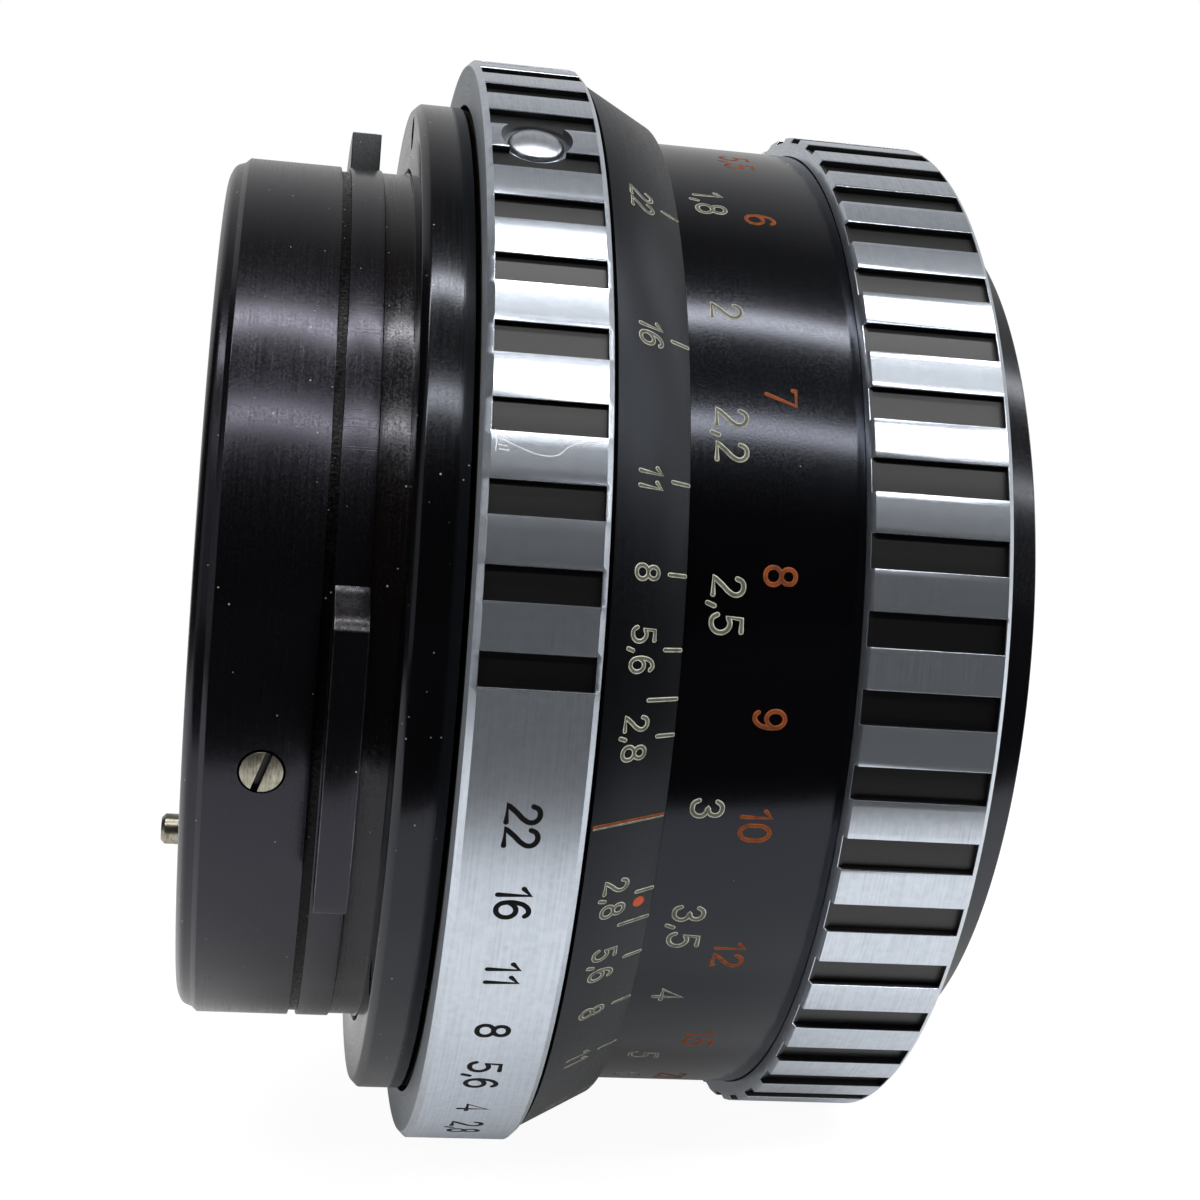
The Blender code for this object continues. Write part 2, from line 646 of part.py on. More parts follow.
def make_stop_down_button():
    ball = (BUTTON_RADIUS**2 + BUTTON_DOME**2) / (2 * BUTTON_DOME)
    rim = BUTTON_SUNK + BUTTON_DOME
    heights = [BUTTON_RADIUS * i / (DOME_POINTS - 1) for i in range(DOME_POINTS)]
    dome = [(-BUTTON_SUNK - sag(ball, h), h) for h in heights]
    profile = dome + [(-rim - BUTTON_HEIGHT, BUTTON_RADIUS), (-rim - BUTTON_HEIGHT, 0)]
    mesh = turned_mesh("stop_down_button", profile, SMALL_STEPS, closed=False)
    mesh.transform(Matrix.Rotation(-math.pi / 2, 4, "Y"))
    button = add_part("stop_down_button", mesh, STEEL, aperture_unit)
    button.matrix_world = button_frame()


def make_distance_ring():
    profile = [
        (LIP_REAR - GAP, DISTANCE_RADIUS),
        (DISTANCE_REAR, DISTANCE_RADIUS),
        (DISTANCE_REAR, DISTANCE_BORE),
        (LIP_REAR - GAP, DISTANCE_BORE),
    ]
    add_ring("distance_ring", profile, BLACK_METAL, focus_unit)


def make_focus_grip():
    pitch = math.tau / GRIP_SLOT_COUNT
    profile = [
        (GRIP_FRONT, GRIP_RADIUS - RING_CHAMFER),
        (GRIP_FRONT - RING_CHAMFER, GRIP_RADIUS),
        (GRIP_REAR, GRIP_RADIUS),
        (GRIP_REAR, SLEEVE_BORE),
        (LIP_REAR, SLEEVE_BORE),
        (LIP_REAR, LIP_BORE),
        (GRIP_FRONT, LIP_BORE),
    ]
    facet = math.pi - GRIP_TURN + pitch / 2
    grip = add_ring("focus_grip", profile, BRIGHT_METAL, focus_unit, GRIP_SLOT_COUNT, facet)
    middle = (GRIP_REAR + GRIP_FRONT) / 2
    size = (GRIP_WIDTH - 2 * GRIP_RIM, GRIP_SLOT_WIDTH, 2 * SLOT_DEPTH)
    turns = [GRIP_TURN + k * pitch for k in range(GRIP_SLOT_COUNT)]
    frames = [radial_frame(middle, GRIP_RADIUS, turn) for turn in turns]
    cut(grip, add_cutter("grip_slots", boxes_mesh("slots", size, frames)))


def make_focus_nut():
    rear = DISTANCE_REAR + NUT_INSET
    front = rear + NUT_LENGTH
    profile = [(front, NUT_RADIUS), (rear, NUT_RADIUS), (rear, NUT_BORE), (front, NUT_BORE)]
    add_ring("focus_nut", profile, BRASS, focus_unit, INNER_STEPS)


def make_optics_barrel():
    flare = BARREL_FLANGE_WIDTH / 2
    profile = [
        (BARREL_FRONT, BARREL_FLANGE_RADIUS),
        (FLANGE_BACK, BARREL_FLANGE_RADIUS),
        (FLANGE_BACK, THREAD_RADIUS),
        (FLANGE_BACK - BARREL_FLARE_LENGTH, BARREL_RADIUS),
        (BARREL_REAR, BARREL_RADIUS),
        (BARREL_REAR, BARREL_BORE),
        (FLANGE_BACK - BARREL_FLARE_LENGTH + flare, BARREL_BORE),
        (FLANGE_BACK + flare, THREAD_RADIUS - GAP),
        (BARREL_FRONT, THREAD_RADIUS - GAP),
    ]
    barrel = add_ring("optics_barrel", profile, MATT_BLACK, optics_unit, INNER_STEPS)
    pin = guide_pin_frame()
    rear = pin.translation.x - TRAVEL_FORWARD - GUIDE_PIN_RADIUS - GAP
    front = pin.translation.x + TRAVEL_BACK + GUIDE_PIN_RADIUS + GAP
    size = (front - rear, 2 * (GUIDE_PIN_RADIUS + GAP), 2 * THROUGH * BARREL_WALL)
    place = radial_frame((front + rear) / 2, BARREL_RADIUS, GUIDE_PIN_ANGLE)
    cut(barrel, add_cutter("guide_slot", boxes_mesh("slot", size, [place])))


def make_front_rings():
    base_front = FRONT_BASE_REAR + FRONT_BASE_WIDTH
    edge = THREAD_RADIUS + FRONT_EDGE_WALL
    profile = [
        (FRONT_END, edge),
        (base_front, FRONT_SLEEVE_RADIUS),
        (base_front, FRONT_BASE_RADIUS),
        (FRONT_BASE_REAR, FRONT_BASE_RADIUS),
        (FRONT_BASE_REAR, FRONT_SLEEVE_RADIUS),
        (LIP_REAR, FRONT_SLEEVE_RADIUS),
        (LIP_REAR, THREAD_RADIUS),
        (FRONT_END - THREAD_CHAMFER, THREAD_RADIUS),
        (FRONT_END, THREAD_RADIUS + THREAD_CHAMFER),
    ]
    add_ring("front_ring", profile, BLACK_METAL, optics_unit)
    outer = THREAD_RADIUS - GAP
    inner = FRONT_LENS_RADIUS - 2 * GAP
    rear = LENS_EDGE_FRONT + 2 * GAP
    profile = [
        (LIP_REAR + RETAINER_EDGE, outer),
        (LIP_REAR, outer),
        (rear, inner),
        (rear + RETAINER_THICKNESS, inner - GAP),
        (LIP_REAR + RETAINER_EDGE, outer - RETAINER_EDGE),
    ]
    add_ring("front_retaining_ring", profile, MATT_BLACK, optics_unit, INNER_STEPS)


def make_front_group():
    seat = LENS_EDGE_REAR - GAP
    profile = [
        (LENS_EDGE_FRONT, CELL_RADIUS),
        (FRONT_CELL_REAR, CELL_RADIUS),
        (FRONT_CELL_REAR, PAIR_RADIUS - CELL_LIP),
        (FRONT_CELL_REAR + CELL_LIP, PAIR_RADIUS - CELL_LIP),
        (FRONT_CELL_REAR + CELL_LIP, PAIR_RADIUS + GAP),
        (seat, PAIR_RADIUS + GAP),
        (seat, FRONT_LENS_RADIUS + GAP),
        (LENS_EDGE_FRONT, FRONT_LENS_RADIUS + GAP),
    ]
    add_ring("front_cell", profile, MATT_BLACK, optics_unit, INNER_STEPS)
    lens = glass_profile(
        LENS_EDGE_FRONT,
        LENS_EDGE_REAR,
        FRONT_LENS_RADIUS,
        FRONT_LENS_CURVE,
        FRONT_LENS_BACK,
    )
    add_glass("lens_1", lens)
    crown = glass_profile(PAIR_FRONT, PAIR_JOIN + GAP, PAIR_RADIUS, PAIR_FRONT_CURVE, PAIR_JOIN_CURVE)
    add_glass("lens_2", crown)
    flint = glass_profile(PAIR_JOIN, PAIR_REAR, PAIR_RADIUS, PAIR_JOIN_CURVE, PAIR_BACK_CURVE)
    add_glass("lens_3", flint)


def make_rear_group():
    flange_rear = BARREL_REAR + GAP
    seat = IRIS_REAR - GAP - INNER_LENS_EDGE - GAP
    throat = INNER_LENS_RADIUS - CELL_LIP
    retainer_rear = REAR_CELL_REAR + REAR_RETAINER_INSET
    lens_rear = retainer_rear + REAR_RETAINER_WIDTH + GAP
    lens_front = lens_rear + REAR_LENS_EDGE
    profile = [
        (IRIS_REAR - GAP, CELL_RADIUS),
        (flange_rear, CELL_RADIUS),
        (flange_rear, TAIL_RADIUS),
        (REAR_CELL_REAR, TAIL_RADIUS),
        (REAR_CELL_REAR, TAIL_BORE),
        (lens_front + GAP, TAIL_BORE),
        (lens_front + GAP, throat),
        (seat, throat),
        (seat, INNER_LENS_RADIUS + GAP),
        (IRIS_REAR - GAP, INNER_LENS_RADIUS + GAP),
    ]
    add_ring("rear_cell", profile, MATT_BLACK, optics_unit, INNER_STEPS)
    inner = glass_profile(
        seat + GAP + INNER_LENS_EDGE, seat + GAP, INNER_LENS_RADIUS, -INNER_LENS_CURVE, -INNER_LENS_BACK
    )
    add_glass("lens_4", inner)
    rear = glass_profile(lens_front, lens_rear, REAR_LENS_RADIUS, REAR_LENS_FRONT, -REAR_LENS_CURVE)
    add_glass("lens_5", rear)
    front = retainer_rear + REAR_RETAINER_WIDTH
    profile = [
        (front, REAR_LENS_RADIUS),
        (retainer_rear, REAR_LENS_RADIUS),
        (retainer_rear, REAR_LENS_RADIUS - CELL_LIP),
        (front, REAR_LENS_RADIUS - CELL_LIP),
    ]
    add_ring("rear_retaining_ring", profile, MATT_BLACK, optics_unit, GLASS_STEPS)


def blade_turns():
    return [i * math.tau / BLADE_COUNT for i in range(BLADE_COUNT)]


def make_iris():
    profile = [
        (IRIS_FRONT, CELL_RADIUS),
        (IRIS_REAR, CELL_RADIUS),
        (IRIS_REAR, IRIS_OPEN_RADIUS),
        (IRIS_FRONT, IRIS_OPEN_RADIUS),
    ]
    base = add_ring("iris_base", profile, MATT_BLACK, optics_unit, INNER_STEPS)
    post = [(-IRIS_BASE_WIDTH / 2, BLADES_FRONT - IRIS_FRONT, PIVOT_RADIUS)]
    frames = [axial_frame(IRIS_FRONT, BLADE_PIVOT_RADIUS, turn) for turn in blade_turns()]
    posts = add_cutter("blade_pivots", rods_mesh("posts", post, frames, PIVOT_STEPS))
    cut(base, posts, "UNION")
    profile = [
        (DRIVE_FRONT, CELL_RADIUS),
        (DRIVE_REAR, CELL_RADIUS),
        (DRIVE_REAR, CELL_RADIUS - DRIVE_WALL),
        (DRIVE_FRONT, CELL_RADIUS - DRIVE_WALL),
    ]
    add_ring("iris_drive_ring", profile, BRASS, optics_unit, INNER_STEPS)


def blade_loops():
    """A crescent blade at full aperture, with its pivot at the origin."""
    half_tab = BLADE_TAB / BLADE_PIVOT_RADIUS
    outer = IRIS_OPEN_RADIUS + BLADE_WIDTH
    tab = BLADE_PIVOT_RADIUS + BLADE_TAB
    edge = arc(IRIS_OPEN_RADIUS, -half_tab, BLADE_ARC, BLADE_POINTS)
    back = arc(outer, BLADE_ARC - half_tab, 2 * half_tab, BLADE_POINTS)
    end = [polar(tab, half_tab / 2), polar(tab, -half_tab / 2), polar(BLADE_PIVOT_RADIUS, -half_tab)]
    loop = [(a - BLADE_PIVOT_RADIUS, b) for a, b in edge + back + end]
    hole = arc(PIVOT_RADIUS + GAP, 0, math.tau, PIVOT_STEPS + 1)[:-1]
    return [loop, hole]


def make_iris_blades():
    blade = outline_mesh("iris_blade", blade_loops(), BLADE_THICKNESS)
    for i, turn in enumerate(blade_turns()):
        obj = add_part(f"iris_blade_{i + 1}", blade, MATT_BLACK, optics_unit)
        level = IRIS_FRONT + GAP + (i + 0.5) * BLADE_PITCH
        across, up = polar(BLADE_PIVOT_RADIUS, turn)
        obj.location = (level, -across, up)
        obj.rotation_euler.x = -turn - BLADE_SWING


def make_pin_and_guides():
    outer = REAR_PLATE_RADIUS
    inner = REAR_PLATE_BORE
    rings = [
        ("rear_plate", REAR_PLATE_REAR, REAR_PLATE_FRONT),
        ("pin_guide_ring", GUIDE_RING_REAR, GUIDE_RING_FRONT),
    ]
    for name, rear, front in rings:
        profile = [(front, outer), (rear, outer), (rear, inner), (front, inner)]
        ring = add_ring(name, profile, MATT_BLACK, None, INNER_STEPS)
        hole = [(rear - GAP, front + GAP, PIN_RADIUS + GAP)]
        place = axial_frame(0, PIN_CIRCLE, PIN_ANGLE)
        cut(ring, add_cutter(name + "_hole", rods_mesh("hole", hole, [place])))
    tip = TUBE_REAR - PIN_PROUD
    end = GUIDE_RING_FRONT + PIN_REACH
    profile = [
        (end, 0),
        (end, PIN_RADIUS),
        (COLLAR_FRONT, PIN_RADIUS),
        (COLLAR_FRONT, PIN_COLLAR_RADIUS),
        (COLLAR_REAR, PIN_COLLAR_RADIUS),
        (COLLAR_REAR, PIN_RADIUS),
        (tip, PIN_RADIUS),
        (tip, 0),
    ]
    mesh = turned_mesh("aperture_pin", profile, SMALL_STEPS, closed=False)
    pin = add_part("aperture_pin", mesh, STEEL)
    across, up = polar(PIN_CIRCLE, PIN_ANGLE)
    pin.location = (0, -across, up)


def make_pin_spring():
    """A wire coil round the pin, between its collar and the guide ring."""
    rear = COLLAR_FRONT + GAP + SPRING_WIRE / 2
    front = GUIDE_RING_REAR - GAP - SPRING_WIRE / 2
    coil = PIN_RADIUS + GAP + SPRING_WIRE / 2
    count = SPRING_TURNS * SPRING_POINTS + 1
    curve = bpy.data.curves.new("pin_spring", "CURVE")
    curve.dimensions = "3D"
    curve.bevel_depth = SPRING_WIRE / 2
    curve.bevel_resolution = 1
    curve.use_fill_caps = True
    spline = curve.splines.new("POLY")
    spline.points.add(count - 1)
    for i, point in enumerate(spline.points):
        a, b = polar(coil, math.tau * i / SPRING_POINTS)
        point.co = (rear + (front - rear) * i / (count - 1), a, b, 1)
    mesh = baked(add_object("pin_spring_wire", curve, cutters), "pin_spring")
    spring = add_part("pin_spring", mesh, STEEL)
    across, up = polar(PIN_CIRCLE, PIN_ANGLE)
    spring.location = (0, -across, up)


clear_scene()
parts = new_collection("portrait_lens")
cutters = new_collection("cutters")

aperture_unit = add_empty("aperture_unit")
optics_unit = add_empty("optics_unit")
focus_unit = add_empty("focus_unit", optics_unit)

make_mount_tube()
make_locating_screw()
make_flange_ring()
make_flange_screws()
make_fixed_barrel()
make_guide_pin()
make_depth_cone()
make_aperture_ring()
make_stop_down_button()
make_distance_ring()
make_focus_grip()
make_focus_nut()
make_optics_barrel()
make_front_rings()
make_front_group()
make_rear_group()
make_iris()
make_iris_blades()
make_pin_and_guides()
make_pin_spring()
finish_parts()
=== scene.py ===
import math

import bmesh
import bpy
from mathutils import Matrix, Vector


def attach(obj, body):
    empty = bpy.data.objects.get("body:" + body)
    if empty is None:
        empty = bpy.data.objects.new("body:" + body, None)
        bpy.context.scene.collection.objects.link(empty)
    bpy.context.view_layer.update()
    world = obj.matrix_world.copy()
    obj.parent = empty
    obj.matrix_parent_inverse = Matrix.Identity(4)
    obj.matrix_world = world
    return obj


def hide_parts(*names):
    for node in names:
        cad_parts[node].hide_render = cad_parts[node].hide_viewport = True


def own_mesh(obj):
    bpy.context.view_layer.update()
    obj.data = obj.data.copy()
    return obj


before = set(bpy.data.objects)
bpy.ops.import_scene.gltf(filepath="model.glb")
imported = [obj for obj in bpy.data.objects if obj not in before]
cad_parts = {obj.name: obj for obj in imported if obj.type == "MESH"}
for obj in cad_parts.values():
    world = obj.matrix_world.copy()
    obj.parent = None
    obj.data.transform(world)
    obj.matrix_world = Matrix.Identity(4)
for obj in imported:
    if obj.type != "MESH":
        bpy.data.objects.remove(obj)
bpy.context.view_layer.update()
scene = bpy.context.scene
mm = 0.001
weld, closeWeld = 1e-6, 1e-7  # metres
noiseSpan = (0.25, 0.75)  # most of a noise's values lie in here
spinAxis = (-1, 0, 0)  # a spin about it raises the angle: 0 faces the viewer (-Y), 90 points up (+Z)
alongLens = Vector((1, 0, 0))
white = (1, 1, 1, 1)
print("frame loaded:", len(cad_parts), "nodes")


def linear(hexColour):
    # the numbers are the sRGB curve's own
    parts = [int(hexColour[i:i + 2], 16) / 255 for i in (1, 3, 5)]
    return [c / 12.92 if c <= 0.04045 else ((c + 0.055) / 1.055) ** 2.4 for c in parts] + [1]


def setInputs(tree, node, inputs):
    # a list fills the sockets in order, a dictionary those that it names
    for socket, value in inputs.items() if isinstance(inputs, dict) else enumerate(inputs):
        if isinstance(value, bpy.types.Node):
            value = value.outputs[0]  # a node alone stands for its first output
        if isinstance(value, bpy.types.NodeSocket):
            tree.links.new(value, node.inputs[socket])
        else:
            node.inputs[socket].default_value = value


def addNode(tree, kind, inputs=(), **settings):
    node = tree.nodes.new("ShaderNode" + kind)
    for name, value in settings.items():
        setattr(node, name, value)
    setInputs(tree, node, inputs)
    return node


def startMaterial(name):
    material = bpy.data.materials.new(name)
    material.use_nodes = True
    return material, material.node_tree, material.node_tree.nodes["Principled BSDF"]


def latheLines(tree, spacing, length, radius):
    # streaks that a lathe leaves, in mm; they are counted along the axis and away from it, so they run over faces
    # and sides alike, and their length is right at the radius given
    place = addNode(tree, "TexCoord").outputs["Object"]
    split = addNode(tree, "SeparateXYZ", [place])
    flat = addNode(tree, "VectorMath", [place, (0, 1, 1)], operation="MULTIPLY")
    reach = addNode(tree, "VectorMath", [flat], operation="LENGTH")
    station = addNode(tree, "Math", [split, reach.outputs["Value"]], operation="ADD")
    turn = addNode(tree, "Math", [split.outputs[1], split.outputs[2]], operation="ARCTAN2")
    rings = addNode(tree, "Math", [station, 1 / (spacing * mm)], operation="MULTIPLY")
    arcs = addNode(tree, "Math", [turn, radius / length], operation="MULTIPLY")
    track = addNode(tree, "CombineXYZ", [rings, arcs])
    lines = addNode(tree, "TexNoise", {"Vector": track, "Scale": 1.0, "Detail": 3.0}, noise_dimensions="2D")
    return place, lines


def anodised(name, colour, roughness, rings, grainDepth, speckle, dustSpacing, ior, ringSheen=0.2, grain=0.15,
             dust="#8d8a80", sheen="#ffffff"):
    # aluminium turned on a lathe and anodised black: a dark skin that the tool's rings, given by spacing, length and
    # depth, and a fine grain break up, with some dust; sizes are in mm
    ringSpacing, ringLength, ringDepth = rings
    speckRadius = 0.075  # of the largest speck
    pitSpan = (0.35, 0.65)
    material, tree, shader = startMaterial("anodised aluminium, " + name)
    place, lines = latheLines(tree, ringSpacing, ringLength, radius=30)
    pits = addNode(tree, "TexNoise", {  # the etch is finer, drawn coarser to show
        "Vector": place, "Scale": 1 / (grain * mm), "Detail": 1.0})
    pitted = addNode(tree, "Math", [pits, grainDepth], operation="MULTIPLY")
    relief = addNode(tree, "Math", [lines, ringDepth, pitted], operation="MULTIPLY_ADD")
    bump = addNode(tree, "Bump", {"Strength": 1.0, "Distance": mm, "Height": relief})
    rough = addNode(tree, "MapRange", [lines, *noiseSpan, roughness * (1 - ringSheen), roughness * (1 + ringSheen)])
    pepper = addNode(tree, "MapRange", [pits, *pitSpan, 1 + speckle, 1 - speckle])
    rough = addNode(tree, "Math", [rough, pepper], operation="MULTIPLY")
    specks = addNode(tree, "TexVoronoi", {"Vector": place, "Scale": 1 / (dustSpacing * mm)})
    size = addNode(tree, "Math", [specks.outputs["Color"], speckRadius / dustSpacing], operation="MULTIPLY")
    dusty = addNode(tree, "Math", [specks.outputs["Distance"], size], operation="LESS_THAN")
    # a Mix of colours takes them at sockets 6 and 7 and gives them at 2
    mixed = addNode(tree, "Mix", {0: dusty, 6: linear(colour), 7: linear(dust)}, data_type="RGBA")
    setInputs(tree, shader, {"Base Color": mixed.outputs[2], "Roughness": rough, "Normal": bump,
                             "Specular Tint": linear(sheen), "IOR": ior})
    return material


def brushed(name, colour, stain, roughness, lineLength, lineSpacing=0.1, lineDepth=0.003, metallic=1.0):
    # metal brushed round the axis on the lathe: bright, with hair-fine streaks that stretch the lights; a clear oxide
    # makes part of it dull
    cloudSize = 0.5  # mm
    lineSheen, wornSpan = 0.08, (0.12, 0.42)
    material, tree, shader = startMaterial(name)
    place, lines = latheLines(tree, lineSpacing, lineLength, radius=35)
    bump = addNode(tree, "Bump", {"Strength": 1.0, "Distance": lineDepth * mm, "Height": lines})
    rough = addNode(tree, "MapRange", [lines, *noiseSpan, roughness * (1 - lineSheen), roughness * (1 + lineSheen)])
    cloud = addNode(tree, "TexNoise", {"Vector": place, "Scale": 1 / (cloudSize * mm), "Detail": 3.0})
    shade = addNode(tree, "Math", [lines, cloud], operation="MULTIPLY")
    worn = addNode(tree, "MapRange", [shade, *wornSpan, 0.0, 1.0])
    mixed = addNode(tree, "Mix", {0: worn, 6: linear(colour), 7: linear(stain)}, data_type="RGBA")
    setInputs(tree, shader, {"Base Color": mixed.outputs[2], "Metallic": metallic, "Roughness": rough, "Normal": bump})
    return material


def painted(name, colour, worn, core, dirt, roughness, gloss, grain):
    # enamel rubbed into a cut line: dull and uneven, paler along the edges of the line and dirty along its middle
    unevenness = 0.003  # mm
    rubbedSpan, dirtSpan = (0.42, 0.72), (0.62, 0.8)
    material, tree, shader = startMaterial(name)
    place = addNode(tree, "TexCoord").outputs["Object"]
    cloud = addNode(tree, "TexNoise", {"Vector": place, "Scale": 1 / (grain * mm), "Detail": 4.0})
    shade = addNode(tree, "MapRange", [cloud, *rubbedSpan, 0.0, 1.0])
    mixed = addNode(tree, "Mix", {0: shade, 6: linear(colour), 7: linear(worn)}, data_type="RGBA")
    middle = addNode(tree, "Attribute", attribute_name="groove")
    dirty = addNode(tree, "MapRange", [middle.outputs["Fac"], *dirtSpan, 0.0, dirt])
    mixed = addNode(tree, "Mix", {0: dirty, 6: mixed.outputs[2], 7: linear(core)}, data_type="RGBA")
    bump = addNode(tree, "Bump", {"Strength": 1.0, "Distance": unevenness * mm, "Height": cloud})
    setInputs(tree, shader, {"Base Color": mixed.outputs[2], "Roughness": roughness, "Normal": bump,
                             "Specular IOR Level": gloss})
    return material


def opticalGlass(name, colour, ior, coating):
    # polished optical glass with one evaporated coating, its thickness in nanometres: clear, with a faint coloured
    # reflection and a trace of dust haze
    hazeSize = 3  # mm
    hazeSpan, hazeRoughness, coatingIor = (0.4, 0.8), 0.006, 1.38
    material, tree, shader = startMaterial(name)
    place = addNode(tree, "TexCoord").outputs["Object"]
    haze = addNode(tree, "TexNoise", {"Vector": place, "Scale": 1 / (hazeSize * mm), "Detail": 3.0})
    rough = addNode(tree, "MapRange", [haze, *hazeSpan, 0.0, hazeRoughness])
    setInputs(tree, shader, {"Base Color": linear(colour), "Roughness": rough, "Transmission Weight": 1.0, "IOR": ior,
                             "Thin Film Thickness": coating, "Thin Film IOR": coatingIor})
    return material


clearAnodised = {"colour": "#ccd3dd", "stain": "#bcc3cc", "lineLength": 6, "lineSpacing": 0.13, "lineDepth": 0.0003,
                 "metallic": 0.92}
lugSkin = {"rings": (0.3, 1, 0.006), "speckle": 0.2, "dustSpacing": 1.1, "ior": 1.5, "grain": 0.2}
finishes = {
    "tubeBlack": anodised(
        "turned black", "#040405", roughness=0.22, rings=(0.13, 9, 0.0018), grainDepth=0.0012, speckle=0.16,
        dustSpacing=1.0, ior=1.51, ringSheen=0.12, sheen="#ece9ff"),
    "flangeBlack": anodised(
        "fine turned black", "#030304", roughness=0.17, rings=(0.13, 7, 0.002), grainDepth=0.0014, speckle=0.14,
        dustSpacing=0.75, ior=1.47, sheen="#e8edfc"),
    "ringBlack": anodised(
        "satin black", "#020203", roughness=0.155, rings=(0.2, 6, 0.0004), grainDepth=0.0016, speckle=0.15,
        dustSpacing=2.6, ior=1.46, ringSheen=0.05, dust="#77756f", sheen="#e6ecff"),
    "coneBlack": anodised(
        "matt black", "#050506", roughness=0.36, rings=(0.16, 6, 0.0006), grainDepth=0.003, speckle=0.12,
        dustSpacing=2.4, ior=1.41, ringSheen=0.05, grain=0.16, dust="#6f6c66", sheen="#dee8fa"),
    "channelBlack": anodised(
        "rubbed brownish", "#090505", roughness=0.19, rings=(0.13, 5, 0.002), grainDepth=0.0024, speckle=0.3,
        dustSpacing=0.85, ior=1.47, sheen="#f0f0fa"),
    "grooveBlack": anodised(
        "dirty in the groove", "#020202", roughness=0.3, rings=(0.2, 2, 0.006), grainDepth=0.02, speckle=0.3,
        dustSpacing=0.55, ior=1.2, grain=0.25, dust="#6b6962"),
    "lugBlack": anodised(
        "rubbed on the lug ramps", "#0e0d10", **lugSkin, roughness=0.3, grainDepth=0.004, sheen="#f4eef8"),
    "lugEnd": anodised("worn grey at the lug ends", "#414345", **lugSkin, roughness=0.5, grainDepth=0.006),
    "innerBlack": anodised(
        "dull black inside", "#050505", roughness=0.5, rings=(0.25, 8, 0.004), grainDepth=0.004, speckle=0.1,
        dustSpacing=2.2, ior=1.34, ringSheen=0.1, grain=0.2, dust="#6b6962"),
    "aluminium": brushed("aluminium, brushed and clear anodised", **clearAnodised, roughness=0.25),
    "bandAluminium": brushed("aluminium, satin brushed and clear anodised", **clearAnodised, roughness=0.37),
    "facedAluminium": brushed(
        "aluminium, faced matt and clear anodised", "#8f959b", stain="#7d8288", roughness=0.45, lineLength=6,
        lineDepth=0.001, metallic=0.4),
    "wornEdge": brushed(
        "aluminium, bare where the black wore off", "#6a6d73", stain="#3b3d41", roughness=0.34, lineLength=2),
    "nickel": brushed(
        "steel, nickel plated and turned", "#b9b5a6", stain="#7d7868", roughness=0.3, lineLength=1.2),
    "polished": brushed(
        "steel, polished", "#d3d8e0", stain="#b9bec6", roughness=0.3, lineLength=2, lineSpacing=0.3, lineDepth=0.0006),
    "scratched": brushed(
        "aluminium, freshly scratched", "#f4f6f8", stain="#e4e6e8", roughness=0.5, lineLength=1, lineDepth=0.004,
        metallic=0.6),
    "blackSteel": brushed("steel, blackened", "#1d1d20", stain="#101012", roughness=0.4, lineLength=1.2),
    "brass": brushed("brass, turned", "#b3925a", stain="#8d713f", roughness=0.33, lineLength=6, lineSpacing=0.12),
    "oldBrass": brushed(
        "brass, chemically blackened", "#38301f", stain="#1c1813", roughness=0.5, lineLength=6, lineSpacing=0.12),
    "bladeSteel": brushed(
        "spring steel, blued", "#2b2d32", stain="#1c1d21", roughness=0.4, lineLength=1.5, lineSpacing=0.2,
        lineDepth=0.002),
    "slotBlack": painted(
        "enamel, black in the slots", "#030304", worn="#020202", core="#030304", dirt=0.0, roughness=0.39, gloss=0.62,
        grain=0.3),
    "creamPaint": painted(
        "enamel, cream in the engraving", "#c2c3b1", worn="#8b8c7d", core="#1c1c17", dirt=0.85, roughness=0.6,
        gloss=0.3, grain=0.45),
    "orangePaint": painted(
        "enamel, orange in the engraving", "#9c4c1a", worn="#693413", core="#3c1e0c", dirt=0.6, roughness=0.6,
        gloss=0.2, grain=0.45),
    "redPaint": painted(
        "enamel, red-orange at the index", "#c14a22", worn="#9a3b1c", core="#a8421e", dirt=0.3, roughness=0.55,
        gloss=0.3, grain=0.4),
    "blackPaint": painted(
        "enamel, black in the engraving", "#070707", worn="#141210", core="#050505", dirt=0.5, roughness=0.7,
        gloss=0.15, grain=0.5),
    "edgePaint": painted(
        "lacquer, black on ground glass edges", "#0b0b0b", worn="#050505", core="#0b0b0b", dirt=0.0, roughness=0.6,
        gloss=0.4, grain=1.0),
    "frontGlass": opticalGlass("optical glass, coated blue", "#f4f6ff", ior=1.62, coating=105.0),
    "innerGlass": opticalGlass("optical glass, coated amber", "#fbf8f2", ior=1.6, coating=88.0),
}
print("finishes:", len(finishes))


def turned(bm, profile, start=0.0, sweep=360.0, steps=192, closed=True):
    # profile points are (station, radius) in mm; angles in degrees
    angle = math.radians(start)
    verts = [bm.verts.new((x * mm, -r * mm * math.cos(angle), r * mm * math.sin(angle))) for x, r in profile]
    ends = verts[1:] + verts[:1] if closed else verts[1:]
    edges = [bm.edges.new(pair) for pair in zip(verts, ends)]
    made = bmesh.ops.spin(bm, geom=verts + edges, cent=(0, 0, 0), axis=spinAxis, angle=math.radians(sweep),
                          steps=steps, use_merge=sweep == 360.0)
    bmesh.ops.remove_doubles(bm, verts=bm.verts, dist=closeWeld)
    bm.normal_update()
    return made["geom_last"]


def copiesRound(bm, count, pitch):
    everything = bm.verts[:] + bm.edges[:] + bm.faces[:]
    bmesh.ops.spin(bm, geom=everything, cent=(0, 0, 0), axis=spinAxis, angle=math.radians(pitch * (count - 1)),
                   steps=count - 1, use_duplicate=True)


def away(point):
    return math.hypot(point.y, point.z) / mm  # distance from the lens axis


def turnOf(point):
    return math.degrees(math.atan2(point.z, -point.y))


def outward(angle):
    return Vector((0, -math.cos(math.radians(angle)), math.sin(math.radians(angle))))


